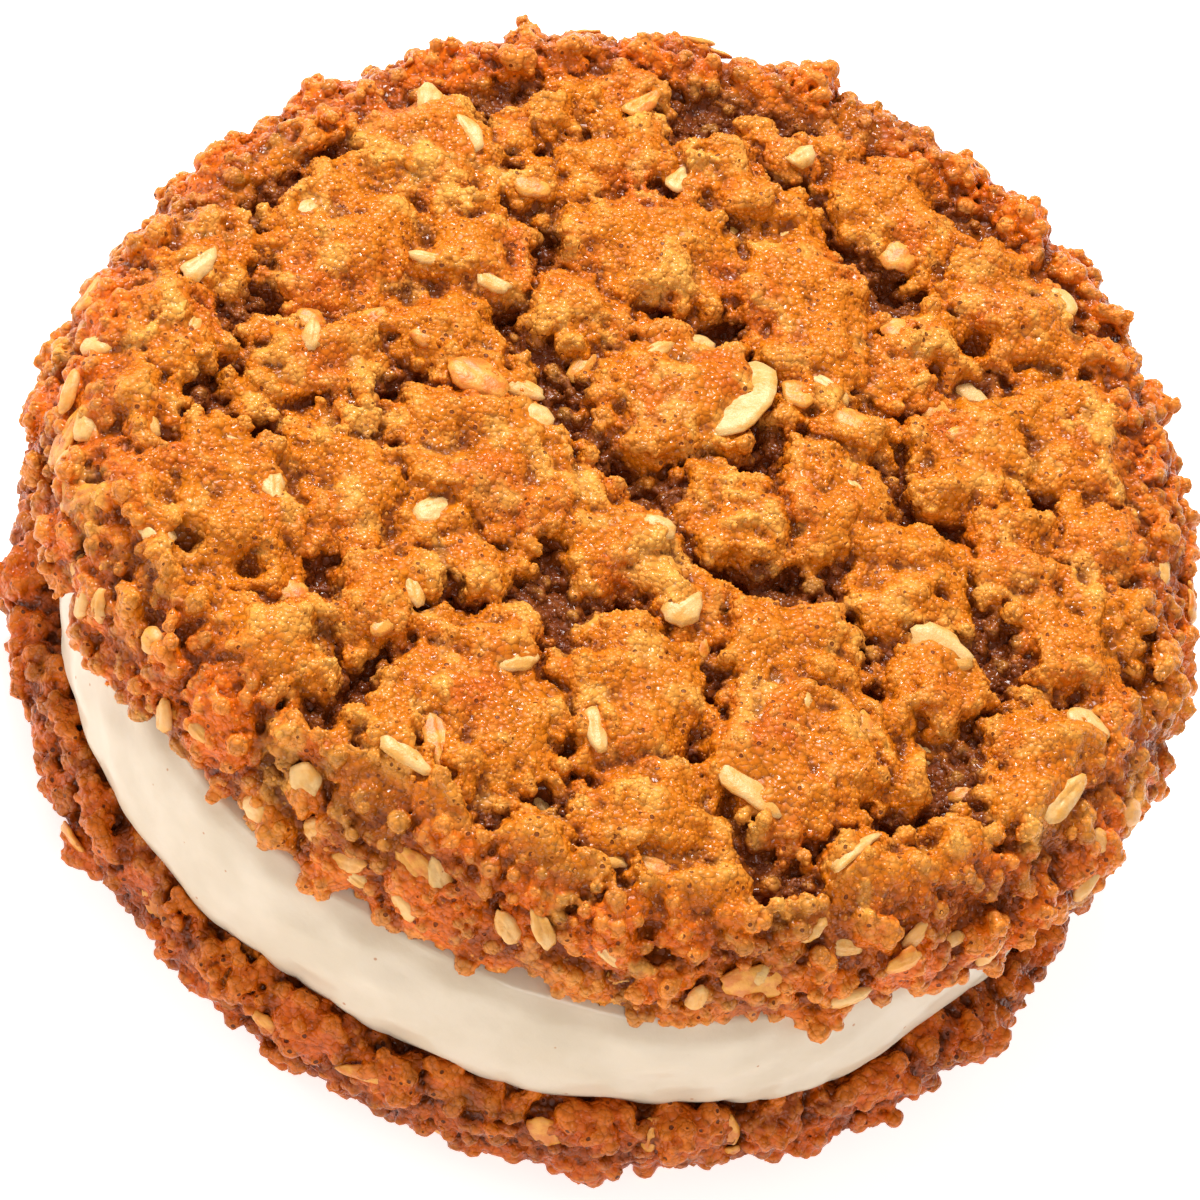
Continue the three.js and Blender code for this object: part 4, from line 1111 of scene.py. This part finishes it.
class Finish:
    """A procedural material with one Principled shader."""

    def __init__(self, name, **constants):
        self.material = bpy.data.materials.new(name)
        self.material.use_nodes = True
        self.tree = self.material.node_tree
        self.shader = self.tree.nodes["Principled BSDF"]
        for socket, value in constants.items():
            self.shader.inputs[socket.replace("_", " ")].default_value = value
        self.place = self.node("ShaderNodeTexCoord", out="Object")

    def node(self, kind, settings=None, values=None, out=0):
        """Any node: its type, its settings, the values or wires of its sockets, and the output taken."""
        node = self.tree.nodes.new(kind)
        for key, value in (settings or {}).items():
            setattr(node, key, value)
        for key, value in (values or {}).items():
            self.feed(node.inputs[key], value)
        return Wire(self, node.outputs[out])

    def feed(self, socket, value):
        """A wire, a colour or a number into a socket."""
        if isinstance(value, Wire):
            self.tree.links.new(value.socket, socket)
        elif socket.type == "RGBA":
            socket.default_value = (*value, 1)
        else:
            socket.default_value = value

    def layer(self, name):
        """A value that the mesh carries at every corner."""
        return self.node("ShaderNodeAttribute", {"attribute_name": name}, out="Fac")

    def noise(self, size, detail=3.0):
        """Cloudy values from 0 to 1 with features of the given size in mm."""
        values = {"Vector": self.place, "Scale": 1 / (size * MM), "Detail": detail, "Roughness": 0.55}
        return self.node("ShaderNodeTexNoise", None, values, "Fac")

    def cells(self, size, place=None):
        """Grains of the given size in mm: the distance to each one's middle, and a value of its own."""
        values = {"Vector": place or self.place, "Scale": 1 / (size * MM)}
        distance = self.node("ShaderNodeTexVoronoi", None, values, "Distance")
        return distance, Wire(self, distance.socket.node.outputs["Color"])

    def bent(self, size, reach):
        """The place, pushed about by noise so that a pattern on it loses its regular look; both in mm."""
        values = {"Vector": self.place, "Scale": 1 / (size * MM)}
        push = self.node("ShaderNodeTexNoise", None, values, "Color")
        settings = {"operation": "MULTIPLY_ADD"}
        values = {0: push, 1: (reach * MM,) * 3, 2: self.place}
        return self.node("ShaderNodeVectorMath", settings, values)

    def blend(self, a, b, share):
        """Colour a where share is 0 and b where it is 1."""
        node = self.tree.nodes.new("ShaderNodeMix")
        node.data_type = "RGBA"
        for socket, value in zip((node.inputs[0], node.inputs[6], node.inputs[7]), (share, a, b)):
            self.feed(socket, value)
        return Wire(self, node.outputs[2])

    def scale(self, colour, factor):
        """A colour made darker or lighter by a factor."""
        node = self.tree.nodes.new("ShaderNodeVectorMath")
        node.operation = "SCALE"
        self.feed(node.inputs[0], colour)
        self.feed(node.inputs["Scale"], factor)
        return Wire(self, node.outputs[0])

    def bump(self, height, depth):
        """A fine relief; depth in mm is how far height 1 stands above height 0."""
        values = {"Height": height, "Strength": 1.0, "Distance": depth * MM}
        return self.node("ShaderNodeBump", None, values)

    def end(self, **wires):
        """Feed the shader and give the material."""
        for socket, value in wires.items():
            self.feed(self.shader.inputs[socket.replace("_", " ")], value)
        print(self.material.name, "finish,", len(self.tree.nodes), "nodes")
        return self.material


def shade(*screen):
    """A colour as a screen shows it, from 0 to 255, in the linear numbers that light uses."""
    return tuple((c / 255 / 12.92) if c < 10.3 else ((c / 255 + 0.055) / 1.055) ** 2.4 for c in screen)


# %% Crust finish
CRUMB_IOR, CRUMB_SPECULAR = 1.45, 0.3
SAND = 0.42  # mm across the grains that the finish adds


def crust(name, gold, toast, pale, dark, edge, crevice_shade, granular=False):
    """Baked oatmeal crust: sandy plates, moist dark crumb between them and a browner rim, with shade painted
    into its cracks, notches, folds and pinholes, and light painted on its ridges.
    """
    make = Finish(name, IOR=CRUMB_IOR)
    make.shader.inputs["Specular IOR Level"].default_value = CRUMB_SPECULAR
    inside, rim = make.layer("inside"), make.layer("rim")
    tone, oat, brown = make.layer("tone"), make.layer("oat"), make.layer("brown")
    fold, deep = make.layer("fold"), make.layer("deep")
    notch_shade, own = make.layer("notch_shade"), make.layer("own")
    clouds = make.noise(6.0, 2.0)
    small = make.noise(1.3, 2.0)
    colour = make.blend(gold, toast, (clouds + (tone - 0.5) * 0.2).step(0.46, 0.7) * 0.5)
    colour = make.blend(colour, toast, brown * (0.35 + small).step(0.3, 1.0))
    colour = make.blend(colour, pale, (make.noise(2.6, 1.0) + (small - 0.5) * 0.4).step(0.54, 0.76) * 0.65)
    colour = make.blend(colour, edge, rim * (own * 0.7 + small * 0.5).step(0.15, 0.7))
    colour = make.blend(colour, pale, oat * (0.2 + small).step(0.2, 0.9) * 0.85)
    # Darker where the crust is open, which is the moist crumb's own colour, and darker where much dough lies
    # round, which is painted shade in cracks and pits.
    low = ((inside * -0.5) * (1 - rim) + (deep - 0.5) * 2.4 + (small - 0.5) * 0.5).step(0.2, 0.85)
    colour = make.blend(colour, dark, low * (1 - rim * 0.6))
    # Painted shade in the notches between the rim's clumps.
    colour = make.blend(colour, crevice_shade, notch_shade * 0.55)
    # Painted shade in creases and folds, where much dough lies round.
    colour = make.blend(colour, crevice_shade, (fold + (small - 0.5) * 0.1).step(0.49, 0.68) * 0.85)
    # Painted light: paler on ridges, where little dough lies round.
    colour = make.blend(colour, pale, fold.step(0.46, 0.33) * 0.35)
    if granular:
        granule = make.layer("granule")  # each granule's own tone, from 0 to 1
        # Granules are paler at random, and less so in those darker places, so they follow the painted shade
        # too.
        paler = (granule + (small - 0.5) * 0.2).step(0.6, 1.0) * (1 - low * 0.7)
        colour = make.blend(colour, pale, paler * 0.4)
        colour = make.scale(colour, 0.9 + granule * 0.2)
        return make.end(Base_Color=colour, Roughness=0.2 + granule * 0.25)
    bent = make.bent(0.5, 0.2)
    sand, tint = make.cells(SAND, bent)
    bead = 1 - sand * sand * 1.5
    # Pinholes: small pits that the relief sinks, darkened with the crevice colour as painted shade.
    hole = sand.step(0.42, 0.26) * tint.step(0.8, 0.83)
    # Each grain is lighter in its middle and darker at its edge, which is painted shade between the grains,
    # with a tone of its own at random.
    light = 0.88 + (bead - 0.5) * 0.24 + (tint - 0.5) * 0.2
    colour = make.blend(make.scale(colour, light), crevice_shade, hole * 0.9)
    relief = make.bump(bead - hole * 1.2, 0.12)
    return make.end(Base_Color=colour, Roughness=0.16 + tint.step(0.3, 0.8) * 0.3, Normal=relief)


# Each: gold, toast, pale, dark, edge and crevice shade. Dark is the moist crumb's own colour and also
# painted shade in deep places. Crevice shade is painted shade.
UPPER_COLOURS = (shade(212, 116, 12), shade(200, 92, 8), shade(238, 168, 72),
                 shade(126, 62, 18), shade(222, 102, 4), shade(108, 44, 4))
LOWER_COLOURS = (shade(204, 94, 6), shade(190, 78, 3), shade(224, 132, 34),
                 shade(92, 40, 6), shade(200, 86, 2), shade(74, 28, 2))
upper_finish = crust("upper_crust_baked", *UPPER_COLOURS)
lower_finish = crust("lower_crust_baked", *LOWER_COLOURS)
upper_granule_finish = crust("upper_crust_granules", *UPPER_COLOURS, granular=True)
lower_granule_finish = crust("lower_crust_granules", *LOWER_COLOURS, granular=True)

# %% [markdown]
# ## Granules
#
# Up close the crust is a mass of granules, sugar and crumbs of oat under half a
# millimetre across, glued side by side. Thousands of alike things on a surface are
# work for Geometry Nodes: points are strewn over the crust a set distance apart, each
# takes a small ball, squeezed and turned at random, and the balls are made real mesh.
# Every ball inherits the crust's values at its place, so the crust's own finish
# colours it. There are golden, pale and toasted ones on the upper cookie, and dark
# ones on the rim of the lower one.

# %% Granules
GRANULE_HEIGHT = -0.19  # of a granule's middle over the crust, in its own size
DENSEST = 1e8  # granules per square metre, far more than the spacing lets in


def granule_tree():
    """Strews granules over all the crust in a collection."""
    tree = bpy.data.node_groups.new("granules", "GeometryNodeTree")
    kinds = {"Crust": "Collection", "Spacing": "Float", "Size": "Float", "Seed": "Int", "Tone": "Float",
             "Finish": "Material"}
    for name, kind in kinds.items():
        tree.interface.new_socket(name, in_out="INPUT", socket_type="NodeSocket" + kind)
    tree.interface.new_socket("Geometry", in_out="OUTPUT", socket_type="NodeSocketGeometry")

    def add(kind, settings=None, values=None):
        node = tree.nodes.new(kind)
        for key, value in (settings or {}).items():
            setattr(node, key, value)
        for key, value in (values or {}).items():
            if isinstance(value, bpy.types.NodeSocket):
                tree.links.new(value, node.inputs[key])
            else:
                node.inputs[key].default_value = value
        return node.outputs

    def chance(low, high, seed):
        """A random number for each ball."""
        return add("FunctionNodeRandomValue", {"data_type": "FLOAT"}, {2: low, 3: high, "Seed": seed})[1]

    given = add("NodeGroupInput")
    crust = add("GeometryNodeCollectionInfo", None, {"Collection": given["Crust"]})[0]
    crust = add("GeometryNodeRealizeInstances", None, {"Geometry": crust})[0]
    cover = add("GeometryNodeInputNamedAttribute", {"data_type": "FLOAT"}, {"Name": "cover"})[0]
    spots = add("GeometryNodeDistributePointsOnFaces", {"distribute_method": "POISSON"}, {
        "Mesh": crust, "Distance Min": given["Spacing"], "Density Max": DENSEST, "Density Factor": cover,
        "Seed": given["Seed"]})
    ball = add("GeometryNodeMeshUVSphere", None, {"Radius": 0.5, "Segments": 5, "Rings": 2})[0]
    ball = add("GeometryNodeTransform", None, {"Geometry": ball, "Translation": (0, 0, GRANULE_HEIGHT)})[0]
    turn = add("ShaderNodeCombineXYZ", None, {"Z": chance(0, 2 * math.pi, 5)})[0]
    spin = add("FunctionNodeRotateRotation", {"rotation_space": "LOCAL"}, {0: spots["Rotation"], 1: turn})[0]
    squeeze = add("FunctionNodeRandomValue", {"data_type": "FLOAT_VECTOR"}, {
        0: (0.8, 0.8, 0.6), 1: (1.25, 1.25, 0.9), "Seed": 6})[0]
    size = add("ShaderNodeMath", {"operation": "MULTIPLY"}, {0: given["Size"], 1: chance(0.7, 1.2, 7)})[0]
    scale = add("ShaderNodeVectorMath", {"operation": "SCALE"}, {0: squeeze, "Scale": size})[0]
    balls = add("GeometryNodeInstanceOnPoints", None, {
        "Points": spots["Points"], "Instance": ball, "Rotation": spin, "Scale": scale})[0]
    tone = add("ShaderNodeMath", None, {0: given["Tone"], 1: chance(-0.15, 0.15, 8)})[0]
    balls = add("GeometryNodeStoreNamedAttribute", {"data_type": "FLOAT", "domain": "INSTANCE"}, {
        "Geometry": balls, "Name": "granule", "Value": tone})[0]
    balls = add("GeometryNodeRealizeInstances", None, {"Geometry": balls})[0]
    balls = add("GeometryNodeSetShadeSmooth", None, {0: balls})[0]
    balls = add("GeometryNodeSetMaterial", None, {"Geometry": balls, "Material": given["Finish"]})[0]
    add("NodeGroupOutput", None, {"Geometry": balls})
    return tree


GRANULES = granule_tree()


def strew(name, pieces, **values):
    """One kind of granule on some pieces of crust, as a plain mesh."""
    field = bpy.data.collections.new(name + "_field")
    for piece in pieces:
        field.objects.link(piece)
    values["Crust"] = field
    heap = bpy.data.objects.new(name, bpy.data.meshes.new(name))
    scene.collection.objects.link(heap)
    strewn = heap.modifiers.new(name, "NODES")
    strewn.node_group = GRANULES
    for socket in GRANULES.interface.items_tree:
        if socket.in_out == "INPUT":
            strewn[socket.identifier] = values[socket.name]
    graph = bpy.context.evaluated_depsgraph_get()
    grown = heap.evaluated_get(graph)
    mesh = bpy.data.meshes.new_from_object(grown, preserve_all_data_layers=True, depsgraph=graph)
    heap.modifiers.remove(strewn)
    heap.data = mesh
    bpy.data.collections.remove(field)
    print(name, len(mesh.polygons), "triangles")
    return heap


SPACING = 0.6 * MM  # least distance between two granules of a kind
KINDS = (("golden", 0.48, 0.5), ("pale", 0.4, 0.84), ("toasted", 0.48, 0.2))  # name, size in mm, tone
upper_granules = [
    strew(kind + "_granules", upper_pieces, Spacing=SPACING, Size=size * MM, Seed=seed, Tone=tone,
          Finish=upper_granule_finish)
    for seed, (kind, size, tone) in enumerate(KINDS, 1)
]
lower_granules = [
    strew("dark_granules", lower_pieces[2:], Spacing=SPACING, Size=0.42 * MM, Seed=4, Tone=0.5,
          Finish=lower_granule_finish),
]

# %% Cream finish
def cream_finish():
    """Whipped cream: satin, softly lit from inside, with a few brown specks."""
    make = Finish(
        "whipped_cream", IOR=1.45, Subsurface_Weight=0.35, Subsurface_Scale=1.2 * MM,
        Coat_Weight=0.45, Coat_Roughness=0.16,
    )
    make.shader.inputs["Subsurface Radius"].default_value = (1.0, 0.8, 0.55)
    colour = make.blend(shade(203, 184, 158), shade(211, 193, 169), make.noise(5.0).step(0.35, 0.65))
    speck = make.cells(1.9)[0].step(0.075, 0.045)
    colour = make.blend(colour, shade(176, 112, 60), speck * 0.8)
    ripple = make.bump(make.noise(1.2, 3.0), 0.06)
    return make.end(Base_Color=colour, Roughness=0.42 + make.noise(3.0) * 0.1, Normal=ripple)


cream_material = cream_finish()


# %% Oat finish
def oat_finish():
    """Pressed oat: pale and waxy where it lies bare, tan where crumb has stuck to it."""
    make = Finish("rolled_oat", Subsurface_Weight=0.2, Subsurface_Scale=0.6 * MM, IOR=1.45)
    make.shader.inputs["Subsurface Radius"].default_value = (1.0, 0.65, 0.3)
    bare = make.layer("bare")
    small = make.noise(0.9, 3.0)
    tan = make.blend(shade(224, 152, 58), shade(204, 112, 26), small.step(0.4, 0.65))
    pale = make.blend(shade(224, 178, 112), shade(218, 156, 72), make.noise(1.4, 3.0).step(0.42, 0.62))
    colour = make.blend(tan, pale, (bare + (small - 0.5) * 0.5).step(0.45, 0.8))
    fine = make.bump(make.noise(0.3, 3.0), 0.07)
    return make.end(Base_Color=colour, Roughness=0.42, Normal=fine)


oat_material = oat_finish()


# %% Floor finish
def floor_finish():
    """A pale floor that glows a little, so that it stays nearly white."""
    make = Finish("pale_table", IOR=1.3, Emission_Strength=0.6)
    make.shader.inputs["Emission Color"].default_value = (1, 1, 1, 1)
    tone = make.node("ShaderNodeTexNoise", None, {"Vector": make.place, "Scale": 3.0}, "Fac")
    return make.end(Base_Color=make.blend((0.94, 0.94, 0.94), (0.96, 0.96, 0.96), tone), Roughness=0.9)


floor.data.materials.append(floor_finish())

# %% [markdown]
# ## Hand the pieces over
#
# Every piece rides on the one body and takes the place of the plain solid that it
# dresses.

# %% Ride and replace
for pieces, material, node, slot in (
    ([*upper_pieces, upper_oats, *upper_granules], upper_finish, "cookie_top", "top_crust"),
    ([*lower_pieces, lower_oats, *lower_granules], lower_finish, "cookie_bottom", "bottom_crust"),
    ([cream_piece], cream_material, "cream_filling", "cream"),
):
    for piece in pieces:
        if not piece.data.materials:
            piece.data.materials.append(oat_material if piece in (upper_oats, lower_oats) else material)
        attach(piece, "root")
        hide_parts(node)
